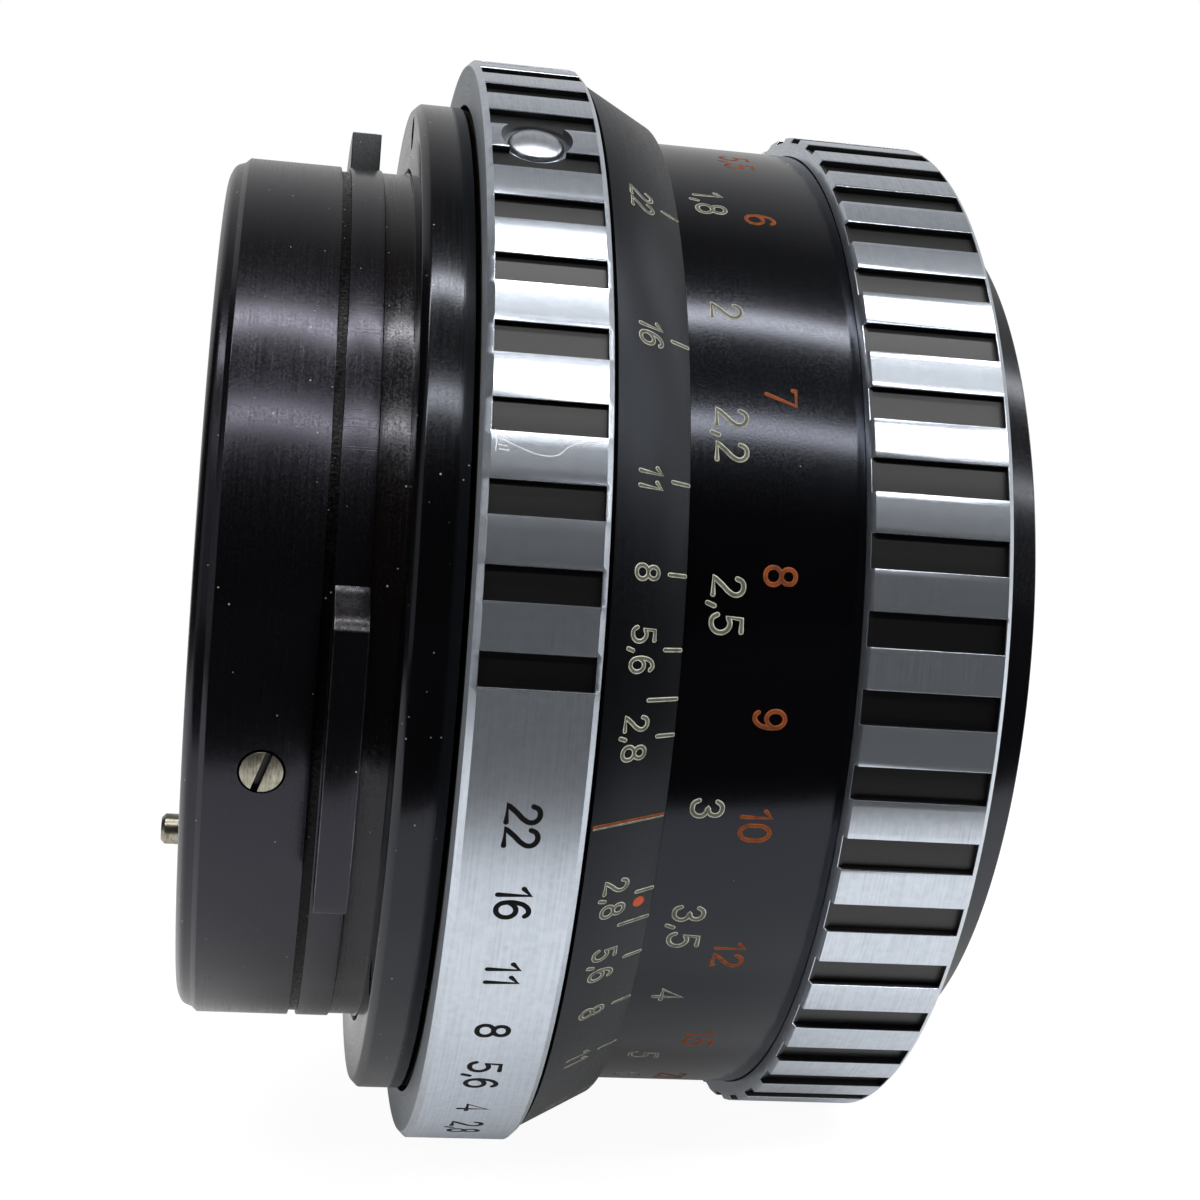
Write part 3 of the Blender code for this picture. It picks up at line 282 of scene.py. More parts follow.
def soften(bm, edges, width, segments=2):
    return bmesh.ops.bevel(bm, geom=edges, offset=width * mm, offset_type="OFFSET", affect="EDGES", segments=segments,
                           profile=0.5, material=-1, clamp_overlap=True)["faces"]


def hardEdges(bm, limit):
    bm.normal_update()
    return [e for e in bm.edges if len(e.link_faces) == 2 and e.calc_face_angle(0) > math.radians(limit)]


def roundOff(bm, limit, width, segments=2, rear=-math.inf, front=math.inf, outside=-1):
    # rounds the edges sharper than the limit that lie between two stations and outside a radius
    starts = [(e, e.verts[0].co) for e in hardEdges(bm, limit)]
    return soften(bm, [e for e, v in starts if rear < v.x / mm < front and away(v) > outside], width, segments)


def turnedRing(ring):
    bm = bmesh.new()
    turned(bm, ring["profile"], steps=ring["steps"], closed=ring.get("closed", True))
    for rounding in ring.get("roundings", ()):
        roundOff(bm, **rounding)
    return bm


def sidePlace(x, radius, angle):
    # local X runs along the lens axis, local Y up round it, local Z out of the surface
    out = outward(angle)
    place = Matrix((alongLens, out.cross(alongLens), out)).transposed().to_4x4()
    place.translation = alongLens * x * mm + out * radius * mm
    return place


def rearPlace(x, radius, angle):
    # local Z points to the rear, toward -X
    place = Matrix((outward(angle + 90), outward(angle), -alongLens)).transposed().to_4x4()
    place.translation = alongLens * x * mm + outward(angle) * radius * mm
    return place


def extruded(bm, faces):
    # the faces move away with the new vertices, and nothing stays behind under them
    edges = list({e for f in faces for e in f.edges})
    made = bmesh.ops.extrude_face_region(bm, geom=faces + edges)["geom"]
    return [v for v in made if isinstance(v, bmesh.types.BMVert)]


def joinInto(bm, other, place=None):
    if place is not None:
        other.transform(place)
    mesh = bpy.data.meshes.new("join")
    other.to_mesh(mesh)
    other.free()
    bm.from_mesh(mesh)
    bpy.data.meshes.remove(mesh)


def linkMesh(name, bm, materials):
    mesh = bpy.data.meshes.new(name)
    bm.to_mesh(mesh)
    bm.free()
    for material in materials:
        mesh.materials.append(material)
    made = bpy.data.objects.new(name, mesh)
    scene.collection.objects.link(made)
    return made


def cleaned(bm):
    bmesh.ops.remove_doubles(bm, verts=bm.verts, dist=weld)
    bmesh.ops.recalc_face_normals(bm, faces=bm.faces)
    return bm


def finishPiece(name, bm, materials, body, stands, sharp=32):
    piece = linkMesh(name, cleaned(bm), [finishes[material] for material in materials])
    piece.data.shade_smooth()
    piece.data.set_sharp_from_angle(angle=math.radians(sharp))
    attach(piece, body)
    if stands:
        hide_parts(*stands)
    return piece


def drill(bm, cutters):
    # cuts closed shapes out of a mesh with the exact Boolean and hands back a fresh one
    mostMaterials = 6
    held = list(finishes.values())[:mostMaterials]  # they keep the material numbers through the Boolean
    blank, tool = linkMesh("blank", cleaned(bm), held), linkMesh("tool", cleaned(cutters), held)
    cut = blank.modifiers.new("cut", "BOOLEAN")
    cut.object = tool
    cut.solver = "EXACT"
    graph = bpy.context.evaluated_depsgraph_get()
    mesh = bpy.data.meshes.new_from_object(blank.evaluated_get(graph))
    fresh = bmesh.new()
    fresh.from_mesh(mesh)
    for obj in (blank, tool):
        old = obj.data
        bpy.data.objects.remove(obj)
        bpy.data.meshes.remove(old)
    bpy.data.meshes.remove(mesh)
    return fresh


def rod(radius, span, place, segments=48, material=0):
    # span holds the bottom and the top in mm, along the place's own Z
    bm = bmesh.new()
    middle = Matrix.Translation((0, 0, sum(span) / 2 * mm))
    bmesh.ops.create_cone(bm, cap_ends=True, segments=segments, radius1=radius * mm, radius2=radius * mm,
                          depth=(span[1] - span[0]) * mm, matrix=place @ middle)
    for f in bm.faces:
        f.material_index = material
    return bm


def slottedHead(screw):
    # a screw head seen from above: disc with a driver slot sunk in it and a rounded rim
    pastWall = 0.51  # of the slot's width; its walls lie at half of it
    bm = bmesh.new()
    bmesh.ops.create_circle(bm, cap_ends=True, radius=screw["radius"] * mm, segments=48)
    turn = math.radians(screw["slotTurn"])
    across = Vector((-math.sin(turn), math.cos(turn), 0))
    for side in (-1, 1):
        bmesh.ops.bisect_plane(bm, geom=bm.verts[:] + bm.edges[:] + bm.faces[:], dist=closeWeld,
                               plane_co=across * side * screw["slotWidth"] / 2 * mm, plane_no=across)
    rim = [e for e in bm.edges if len(e.link_faces) == 1]
    strip = [f for f in bm.faces if abs(f.calc_center_median().dot(across)) < screw["slotWidth"] / 4 * mm]
    skirt = [v for v in bmesh.ops.extrude_edge_only(bm, edges=rim)["geom"] if isinstance(v, bmesh.types.BMVert)]
    bmesh.ops.translate(bm, verts=skirt, vec=(0, 0, -screw["height"] * mm))
    bmesh.ops.translate(bm, verts=extruded(bm, strip), vec=(0, 0, -screw["slotDepth"] * mm))
    bm.normal_update()
    for f in bm.faces:
        middle = f.calc_center_median()
        inSlot = abs(middle.dot(across)) < screw["slotWidth"] * pastWall * mm and middle.z < -weld
        f.material_index = 1 if inSlot else 0
    top = [e for e in hardEdges(bm, limit=60) if all(abs(v.co.z) < weld for v in e.verts)]
    soften(bm, top, screw["edge"], segments=3)
    return bm


# Engraved strokes in a box: "o" closes a stroke, and a third value marks a corner where the others are smooth; the last
# is the infinity sign
strokeBox = 100  # its height
digits = {
    "0": [("o", (27, 100), (48, 86), (54, 50), (48, 14), (27, 0), (6, 14), (0, 50), (6, 86))],
    "1": [("", (30, 0, 1), (30, 100, 1), (6, 78, 1))],
    "2": [("", (3, 78), (11, 94), (29, 100), (48, 92), (55, 74), (47, 54), (24, 29), (0, 0, 1), (57, 0, 1))],
    "3": [("", (3, 82), (13, 96), (29, 100), (46, 93), (52, 77), (45, 60), (25, 53, 1), (48, 45), (57, 27), (48, 7),
           (28, 0), (10, 5), (1, 20))],
    "4": [("", (43, 0, 1), (43, 100, 1), (0, 28, 1), (60, 28, 1))],
    "5": [("", (52, 100, 1), (11, 100, 1), (7, 54, 1), (27, 62), (48, 53), (57, 31), (48, 9), (26, 0), (9, 5),
           (0, 19))],
    "6": [("", (50, 90), (42, 98), (30, 100), (13, 90), (2, 64), (1, 30), (10, 8), (29, 0), (48, 9), (56, 31), (48, 53),
           (30, 61), (11, 52), (2, 38))],
    "7": [("", (0, 90, 1), (0, 100, 1), (57, 100, 1), (20, 0, 1))],
    "8": [("o", (29, 100), (47, 93), (53, 77), (46, 60), (29, 53), (12, 60), (5, 77), (11, 93)),
          ("o", (29, 53), (49, 45), (57, 26), (49, 7), (29, 0), (9, 7), (1, 26), (9, 45))],
    "9": [("", (6, 10), (14, 2), (26, 0), (43, 10), (54, 36), (55, 70), (46, 92), (27, 100), (8, 91), (0, 69), (8, 47),
           (26, 39), (45, 48), (54, 62))],
    ",": [("", (12, 6, 1), (4, -16, 1))],
    "~": [("o", (46, 50), (66, 72), (86, 66), (92, 50), (86, 34), (66, 28), (46, 50), (26, 72), (6, 66), (0, 50),
           (6, 34), (26, 28))],
}
usualWidth = 57
digitWidth = {"1": 36, ",": 16, "~": 92}


def engrave(name, marks, material, body):
    # strokes are drawn flat as a curve, made a mesh, squashed thin and wrapped on the ring with their tops toward the
    # front; sizes are in mm, and marks are given by their turn in degrees
    curve = bpy.data.curves.new(name, "CURVE")
    curve.dimensions = "3D"
    curve.bevel_depth = marks["stroke"] / 2
    curve.bevel_resolution = 1
    curve.resolution_u = 5
    girth = marks["radius"](marks["station"])
    tips = []

    def unrolled(angle):
        return -math.radians(angle) * girth

    def addStroke(points, corners, loop=False):
        spline = curve.splines.new("BEZIER")
        spline.bezier_points.add(len(points) - 1)
        spline.use_cyclic_u = loop
        for knot, point, corner in zip(spline.bezier_points, points, corners):
            knot.co = (*point, 0)
            knot.handle_left_type = knot.handle_right_type = "VECTOR" if corner else "AUTO"
        if not loop:
            tips.extend((points[0], points[-1]))

    for text, angle in marks.get("numbers", ()):
        size = marks["height"]
        widths = [digitWidth.get(c, usualWidth) / strokeBox for c in text]
        pen = unrolled(angle) - (sum(widths) + marks["spacing"] * (len(text) - 1)) * size / 2
        for character, width in zip(text, widths):
            for loop, *points in digits[character]:
                placed = [(pen + x / strokeBox * size, marks["station"] + (y / strokeBox - 0.5) * size)
                          for x, y, *corner in points]
                addStroke(placed, [len(point) == 3 for point in points], loop == "o")
            pen += (width + marks["spacing"]) * size
    for path in marks.get("scratches", ()):
        addStroke([(unrolled(angle), x) for x, angle in path], [False] * len(path))
    for rear, front, angle in marks.get("lines", ()):
        addStroke([(unrolled(angle), rear), (unrolled(angle), front)], [True, True])
    drawn = bpy.data.objects.new(name, curve)
    scene.collection.objects.link(drawn)
    mesh = bpy.data.meshes.new_from_object(drawn.evaluated_get(bpy.context.evaluated_depsgraph_get()))
    bpy.data.objects.remove(drawn)
    bpy.data.curves.remove(curve)
    bm = bmesh.new()
    bm.from_mesh(mesh)
    bpy.data.meshes.remove(mesh)
    for tip in tips:  # the round ends that the cutter leaves
        bmesh.ops.create_uvsphere(bm, u_segments=10, v_segments=4, radius=marks["stroke"] / 2,
                                  matrix=Matrix.Translation((*tip, 0)))
    for x, angle, across in marks.get("dots", ()):
        bmesh.ops.create_uvsphere(bm, u_segments=24, v_segments=6, radius=across / 2,
                                  matrix=Matrix.Translation((unrolled(angle), x, 0)))
    bmesh.ops.scale(bm, verts=bm.verts, vec=(1, 1, marks["proud"] / (marks["stroke"] / 2)))
    groove = bm.verts.layers.float.new("groove")  # 1 along the middle of a stroke, 0 at its edges
    for v in bm.verts:
        across, x, lift = v.co
        v[groove] = max(0.0, min(1.0, lift / marks["proud"]))
        r = marks["radius"](x) + max(-marks["proud"], min(marks["proud"], lift))
        v.co = alongLens * x * mm + outward(-math.degrees(across / girth)) * r * mm
    finishPiece(name, bm, [material], body, [], sharp=180)


# Camera, at the photograph's angle (an image of 1200 by 1200)
view = {"place": (-7.53, -150.12, 1.907), "yaw": -9.06, "pitch": -0.4885, "roll": 3.7724, "lens": 61.861}
yaw, pitch = math.radians(view["yaw"]), math.radians(view["pitch"])
forward = Vector((-math.sin(yaw) * math.cos(pitch), math.cos(yaw) * math.cos(pitch), math.sin(pitch)))
rightLevel = Vector((math.cos(yaw), math.sin(yaw), 0))
rolled = Matrix.Rotation(math.radians(view["roll"]), 3, -forward)
lensCamera = bpy.data.cameras.new("camera")
lensCamera.lens = view["lens"]
lensCamera.sensor_width = 36
lensCamera.clip_start = 0.01
cameraPost = bpy.data.objects.new("camera", lensCamera)
cameraAxes = (rolled @ rightLevel, rolled @ rightLevel.cross(forward), -forward)
cameraPost.matrix_world = Matrix(cameraAxes).transposed().to_4x4()
cameraPost.matrix_world.translation = Vector(view["place"]) * mm
scene.collection.objects.link(cameraPost)
scene.camera = cameraPost
print("camera set")


# Bayonet tube with its lugs
tube = {
    "profile": [(3.2, 31), (1.9, 31), (1.9, 30), (0, 30), (0, 29.84), (-1.85, 29.84), (-1.85, 30), (-4, 30), (-4, 29.7),
                (-4.6, 29.7), (-4.6, 30), (-10.75, 30), (-11.08, 29.68), (-11.72, 29.45), (-12.1, 28.7), (-12.1, 26),
                (3.2, 26)],
    "steps": 240, "radius": 30,
    "roundings": [{"limit": 15, "width": 0.26, "segments": 4, "front": -11.6, "outside": 26.5},
                  {"limit": 15, "width": 0.04, "rear": -11.2, "front": -10.5, "outside": 26.5},
                  {"limit": 60, "width": 0.04, "rear": -4.8}],
    "channel": (-1.84, 0), "channelOver": 29, "groove": (-4.61, -3.99), "grooveUnder": 29.9, "boreUnder": 26.2,
    "hole": 1.42, "holeSpan": (-3, 1), "screwTurn": -20.4, "screwStation": -7.42,
    "finishes": ["tubeBlack", "channelBlack", "wornEdge", "grooveBlack", "lugBlack", "lugEnd"],
}
lugs = {"count": 3, "from": -35.3, "to": -3.1, "rampTo": 1.76, "radius": 32.65, "foot": 29.2, "rampFoot": 29.9,
        "rampBend": 0.09, "rear": -3.9, "front": -1.85, "edge": 0.07, "limit": 25, "steps": 24, "rampSteps": 8,
        "slack": 0.1}  # degrees
numberOf = tube["finishes"].index
bm = turnedRing(tube)
for f in bm.faces:
    middle = f.calc_center_median()
    station, reach = middle.x / mm, away(middle)
    if tube["channel"][0] < station < tube["channel"][1] and reach > tube["channelOver"]:
        f.material_index = numberOf("channelBlack")
    inGroove = tube["groove"][0] < station < tube["groove"][1] and reach < tube["grooveUnder"]
    if inGroove or reach < tube["boreUnder"]:
        f.material_index = numberOf("grooveBlack")
screwPlace = sidePlace(tube["screwStation"], tube["radius"], tube["screwTurn"])
bm = drill(bm, rod(tube["hole"], tube["holeSpan"], screwPlace, material=numberOf("grooveBlack")))
lug = bmesh.new()
section = [(lugs["rear"], lugs["foot"]), (lugs["rear"], lugs["radius"]), (lugs["front"], lugs["radius"]),
           (lugs["front"], lugs["foot"])]
last = turned(lug, section, lugs["from"], lugs["to"] - lugs["from"], lugs["steps"])
rampSweep = lugs["rampTo"] - lugs["to"]
bmesh.ops.spin(lug, geom=last, cent=(0, 0, 0), axis=spinAxis, angle=math.radians(rampSweep), steps=lugs["rampSteps"])
for v in lug.verts:
    onRamp = turnOf(v.co) - lugs["to"]
    along = onRamp / rampSweep
    if onRamp > lugs["slack"] and away(v.co) > tube["radius"]:  # the ramp falls in a soft double bend
        fallen = (lugs["radius"] - lugs["rampFoot"]) * (along - lugs["rampBend"] * math.sin(2 * math.pi * along))
        v.co = alongLens * v.co.x + outward(turnOf(v.co)) * (lugs["radius"] - fallen) * mm
bmesh.ops.holes_fill(lug, edges=[e for e in lug.edges if len(e.link_faces) == 1], sides=0)
bmesh.ops.recalc_face_normals(lug, faces=lug.faces)
for f in lug.faces:
    middle = turnOf(f.calc_center_median())
    finish = "lugBlack" if middle > lugs["to"] else "lugEnd" if middle < lugs["from"] + lugs["slack"] else "tubeBlack"
    f.material_index = numberOf(finish)
for f in roundOff(lug, lugs["limit"], lugs["edge"]):
    f.material_index = numberOf("wornEdge")
copiesRound(lug, lugs["count"], 360 / lugs["count"])
joinInto(bm, lug)
finishPiece("bayonetTube", bm, tube["finishes"], "mount", ["mount_tube"])
engrave("tubeScratches", {
    "lines": [(-3.9, -1.95, angle) for angle in (36.0, 35.2, 32.6, 32.1, 21.8, 20.6, 19.6, 18.4, 17.2, 16.9)],
    "radius": lambda x: tube["radius"], "station": -2.9, "stroke": 0.035, "proud": 0.003,
}, "wornEdge", "mount")

# Locating screw, set in the tube's side
locator = {"radius": 1.28, "height": 2.4, "slotWidth": 0.42, "slotDepth": 0.5, "slotTurn": 72, "edge": 0.2,
           "proud": 0.05}
bm = slottedHead(locator)
bm.transform(screwPlace @ Matrix.Translation((0, 0, locator["proud"] * mm)))
finishPiece("locatingScrew", bm, ["nickel", "slotBlack"], "mount", ["locating_screw"])
print("bayonet tube done")


def screwsAround(screw):
    # screws that face the rear, set on a circle round the axis, and the holes for them; slots are turned one by one
    holes, screws = bmesh.new(), bmesh.new()
    for angle, slotTurn in screw["turns"]:
        place = rearPlace(screw["face"], screw["circle"], angle)
        joinInto(holes, rod(screw["hole"], screw["holeSpan"], place, segments=32))
        joinInto(screws, slottedHead({**screw, "slotTurn": slotTurn}), rearPlace(screw["top"], screw["circle"], angle))
        if "shank" in screw:
            joinInto(screws, rod(screw["shank"], screw["shankSpan"], place, segments=24))
    return holes, screws


# Flange and its three screws
flange = {
    "profile": [(3.2, 34.75), (0.5, 34.75), (0, 34.25), (0, 30.3), (1.6, 30.3), (1.6, 31.3), (3.2, 31.3)],
    "steps": 240, "roundings": [{"limit": 30, "width": 0.09}],
}
flangeScrew = {"radius": 1.0, "height": 0.7, "slotWidth": 0.32, "slotDepth": 0.3, "edge": 0.09, "face": 0, "top": 0.12,
               "turns": [(-45.3, 25), (74.7, 25), (194.7, 25)], "circle": 32.775, "hole": 1.14, "holeSpan": (-0.95, 1),
               "shank": 0.6, "shankSpan": (-4.4, -0.6)}
holes, screws = screwsAround(flangeScrew)
bm = drill(turnedRing(flange), holes)
finishPiece("flangeRing", bm, ["flangeBlack"], "mount", ["flange_ring"])
finishPiece("flangeScrews", screws, ["blackSteel", "slotBlack"], "mount",
            ["flange_screw_1", "flange_screw_2", "flange_screw_3"])
print("flange done")


def slottedRing(ring):
    # a pitch is turned in three runs, ridge, slot and ridge, the slot's two walls are filled in, and the pitch is
    # copied round the ring
    slack, skin, overFloor = 0.01, 0.02, 0.05  # degrees, then mm
    pitch = 360 / ring["count"]
    step = pitch / ring["steps"]
    begin = ring["first"] - step * (ring["slotSteps"] / 2 + ring["lead"])
    rest = ring["steps"] - ring["lead"] - ring["slotSteps"]
    walls = (begin + step * ring["lead"], begin + step * (ring["lead"] + ring["slotSteps"]))
    ridge = ring["ends"] + ring["top"]
    bm = bmesh.new()
    turned(bm, ridge, begin, step * ring["lead"], ring["lead"])
    turned(bm, ring["ends"] + ring["floor"], walls[0], step * ring["slotSteps"], ring["slotSteps"])
    turned(bm, ridge, walls[1], step * rest, rest)
    bmesh.ops.remove_doubles(bm, verts=bm.verts, dist=weld)
    for wall in walls:
        rim = [e for e in bm.edges if len(e.link_faces) == 1
               and all(abs((turnOf(v.co) - wall + 180) % 360 - 180) < slack for v in e.verts)]
        bmesh.ops.edgeloop_fill(bm, edges=rim)
    bmesh.ops.recalc_face_normals(bm, faces=bm.faces)
    deep = min(r for x, r in ring["floor"])
    high = max(r for x, r in ring["ends"])
    for f in bm.faces:
        middle = f.calc_center_median()
        inside = walls[0] - slack < (turnOf(middle) - begin) % 360 + begin < walls[1] + slack
        sunk = deep - skin < away(middle) < high - skin
        if inside and sunk and ring["reach"][0] <= middle.x / mm <= ring["reach"][1]:
            f.material_index = 1
    rims = [e for e in hardEdges(bm, limit=40) if all(away(v.co) > deep + overFloor for v in e.verts)
            and {f.material_index for f in e.link_faces} == {0, 1}]
    for f in soften(bm, rims, ring["edge"]):
        f.material_index = 0
    copiesRound(bm, ring["slots"], pitch)
    if ring["slots"] < ring["count"]:  # the plain arc that carries the numbers
        plain = ring["count"] - ring["slots"]
        turned(bm, ridge, begin - plain * pitch, plain * pitch, plain * ring["steps"])
    return bm


# Stop ring with its button
stopRing = {
    "ends": [(3.9, 38.015), (3.5, 37.62), (3.5, 34.98), (10.8, 34.98), (10.8, 37.68), (10.44, 38.015)],
    "top": [], "floor": [(10.42, 37.58), (3.9, 37.58)], "reach": (3.8, 10.5), "radius": 38.015,
    "count": 50, "slots": 41, "first": -4.9, "steps": 12, "lead": 3, "slotSteps": 5, "edge": 0.07,
    "facedTo": 3.52, "band": (-73.2, -6.5), "bandOver": 37.9,
    "finishes": ["aluminium", "slotBlack", "facedAluminium", "bandAluminium"],
}
button = {
    "turn": 49.1, "station": 6.7, "hole": 2.2, "holeSpan": (-5, 2),
    "collar": {"profile": [(-0.72, 1.77), (-0.72, 2.2), (-1.6, 2.2), (-1.6, 1.77)], "steps": 48},  # in the hole
    "dome": {"profile": [(-0.06, 0), (-0.085, 0.5), (-0.16, 0.95), (-0.28, 1.33), (-0.4, 1.6), (-0.52, 1.73),
                         (-1.95, 1.73), (-1.95, 0)], "steps": 64, "closed": False},
}
bm = slottedRing(stopRing)
numberOf = stopRing["finishes"].index
for f in bm.faces:
    middle = f.calc_center_median()
    if middle.x < stopRing["facedTo"] * mm:
        f.material_index = numberOf("facedAluminium")
    elif stopRing["band"][0] < turnOf(middle) < stopRing["band"][1] and away(middle) > stopRing["bandOver"]:
        f.material_index = numberOf("bandAluminium")  # the plain arc under the numbers
buttonPlace = sidePlace(button["station"], stopRing["radius"], button["turn"])
buttonTurned = buttonPlace @ Matrix.Rotation(-math.pi / 2, 4, "Y")
bm = drill(bm, rod(button["hole"], button["holeSpan"], buttonPlace, segments=64, material=numberOf("slotBlack")))
joinInto(bm, turnedRing(button["collar"]), buttonTurned)
finishPiece("stopRing", bm, stopRing["finishes"], "aperture_ring", ["aperture_ring"])
bm = turnedRing(button["dome"])
bm.transform(buttonTurned)
finishPiece("stopDownButton", bm, ["polished"], "stop_down_button", ["stop_down_button"], sharp=50)
stopLook = {"radius": lambda x: stopRing["radius"], "station": 7.12}
engrave("stopNumbers", {
    **stopLook, "height": 1.88, "stroke": 0.32, "spacing": 0.2, "proud": 0.012,
    "numbers": [("22", -18.31), ("16", -25.78), ("11", -33.68), ("8", -41.36), ("5,6", -48.94), ("4", -56.4),
                ("2,8", -63.6)],
}, "blackPaint", "aperture_ring")
engrave("stopRingScratches", {
    **stopLook, "stroke": 0.055, "proud": 0.004,
    "scratches": [[(4.5, 14.4), (5.6, 13.7), (6.9, 13.2), (7.7, 13.4), (8.2, 14.1), (9.2, 14.6), (10.2, 14.9)],
                  [(4.1, 15.2), (4.2, 14.2), (4.15, 13.4)], [(4.3, 13.9), (4.8, 13.8)], [(4.35, 13.5), (4.9, 13.45)],
                  [(4.3, 14.7), (4.7, 14.5)]],
}, "scratched", "aperture_ring")
print("stop ring done")

# Depth scale cone
cone = {
    "profile": [(15.82, 34.78), (11.1, 37.28), (11.1, 34.98), (14.1, 34.98), (14.1, 33.98), (15.82, 33.98)],
    "steps": 240, "roundings": [{"limit": 25, "width": 0.07}], "perStop": 2.885, "index": -18.87,
    "stops": [("2,8", 2.8), ("", 4), ("5,6", 5.6), ("8", 8), ("11", 11), ("16", 16), ("22", 22)],
    "longLine": 13.9, "shortLine": 14.68, "lineFront": 15.68,
}
finishPiece("depthScaleCone", turnedRing(cone), ["coneBlack"], "mount", ["depth_scale_cone"])
(frontX, frontR), (rearX, rearR) = cone["profile"][:2]
coneFall = (rearR - frontR) / (frontX - rearX)
coneLook = {"radius": lambda x: rearR - (x - rearX) * coneFall, "station": 13.27, "proud": 0.012}
depthMarks = {**coneLook, "numbers": [], "lines": [], "height": 1.38, "stroke": 0.27, "spacing": 0.26}
for side in (1, -1):
    for text, stop in cone["stops"]:
        angle = cone["index"] + side * stop * cone["perStop"]
        depthMarks["lines"].append((cone["shortLine"] if text else cone["longLine"], cone["lineFront"], angle))
        if text:
            depthMarks["numbers"].append((text, angle))
engrave("depthScale", depthMarks, "creamPaint", "mount")
indexLines = {"indexLine": {"lines": [(11.3, 15.66, cone["index"] + 0.1)], "stroke": 0.17, "proud": 0.014},
              "infraredDot": {"dots": [(14.92, -28.2, 0.74)], "stroke": 0.17, "proud": 0.014},
              "indexEdge": {"lines": [(11.3, 15.66, cone["index"] - 0.14)], "stroke": 0.1}}
for (name, marks), paint in zip(indexLines.items(), ("orangePaint", "redPaint", "creamPaint")):
    engrave(name, {**coneLook, **marks}, paint, "mount")
print("depth scale done")

# Distance ring with its two scales
distance = {
    "profile": [(33.19, 33.68), (8.32, 33.68), (8.32, 32.28), (33.19, 32.28)], "radius": 33.68,
    "steps": 240, "roundings": [{"limit": 40, "width": 0.08}],
    "index": -18.96, "perMm": 43.0, "atIndex": 2.255, "squaredFocal": 6400.0, "offset": 163.0, "infinity": -116.0,
    "metres": "1,8 2 2,2 2,5 3 3,5 4 5 6 8 15 1,5 1,3 1,2 1,1 1",
    "feet": "6 7 8 9 10 12 15 20 30 60 5,5 5 4,5 4 3,5", "foot": 0.3048,
}
finishPiece("distanceRing", turnedRing(distance), ["ringBlack"], "focus_ring", ["distance_ring"])


def distanceMarks(texts, unit=1.0):
    # the optics move by the focal length squared over the distance, and the ring turns in step with that
    marks = []
    for text in texts.split():
        metres = float(text.replace(",", ".")) * unit
        moved = distance["squaredFocal"] / (metres / mm - distance["offset"])
        marks.append((text, distance["index"] + distance["perMm"] * (moved - distance["atIndex"])))
    return marks + [("~", distance["infinity"])]


distanceLook = {"radius": lambda x: distance["radius"], "height": 1.8, "spacing": 0.24, "proud": 0.012}
engrave("metreScale", {**distanceLook, "numbers": distanceMarks(distance["metres"]), "station": 18.5,
                       "stroke": 0.32}, "creamPaint", "focus_ring")
engrave("footScale", {**distanceLook, "numbers": distanceMarks(distance["feet"], distance["foot"]), "station": 21.56,
                      "stroke": 0.29}, "orangePaint", "focus_ring")
print("distance ring done")

# Focus grip
grip = {
    "ends": [(26.62, 34.66), (26.62, 33.74), (27.4, 33.74), (27.4, 33.98), (33.49, 33.98), (33.49, 30.75),
             (35.29, 30.75), (35.29, 34.72), (34.98, 35.0), (34.93, 35.0)],
    "top": [(26.82, 35.0)], "floor": [(34.93, 34.56), (26.9, 34.56), (26.9, 34.66)], "reach": (26.7, 34.96),
    "count": 48, "slots": 48, "first": 0.4, "steps": 11, "lead": 3, "slotSteps": 5, "edge": 0.07,
}
finishPiece("focusGrip", slottedRing(grip), ["aluminium", "slotBlack"], "focus_ring", ["focus_grip"])
print("focus grip done")

# Front ring with its filter thread, and the stepped ring in front of the glass
front = {
    "outside": [(33.49, 30.45), (35.59, 30.45), (35.59, 31.2), (36.29, 31.2), (36.29, 30.45), (38.64, 29.7),
                (38.64, 29.32)],
    "steps": 192, "roundings": [{"limit": 30, "width": 0.12, "segments": 3, "outside": 29.6}],
    "threadFront": 38.3, "threadRear": 33.49, "threadPitch": 0.75, "threads": 6, "crest": 29.02, "root": 29.36,
}
front["profile"] = list(front["outside"])
for i in range(front["threads"]):
    x = front["threadFront"] - i * front["threadPitch"]
    front["profile"] += [(x, front["crest"]), (x - front["threadPitch"] / 2, front["root"])]
front["profile"].append((front["threadRear"], front["crest"]))
finishPiece("frontRing", turnedRing(front), ["ringBlack"], "optics_unit", ["front_ring"], sharp=20)
baffle = {"treads": 11, "outer": (34.79, 27.4), "inner": (30.59, 17.7), "profile": [], "steps": 128,
          "back": [(29.49, 18.0), (33.49, 28.7), (34.79, 28.7)]}
for i in range(baffle["treads"]):
    step = [(inner - outer) / baffle["treads"] for inner, outer in zip(baffle["inner"], baffle["outer"])]
    x, r = [outer + part * i for outer, part in zip(baffle["outer"], step)]
    baffle["profile"] += [(x, r), (x + step[0], r)]
baffle["profile"] += [baffle["inner"]] + baffle["back"]
finishPiece("baffleRing", turnedRing(baffle), ["innerBlack"], "optics_unit", ["front_retaining_ring"])
print("front rings done")


def sag(curve, height):
    return abs(curve) - math.sqrt(curve * curve - height * height)


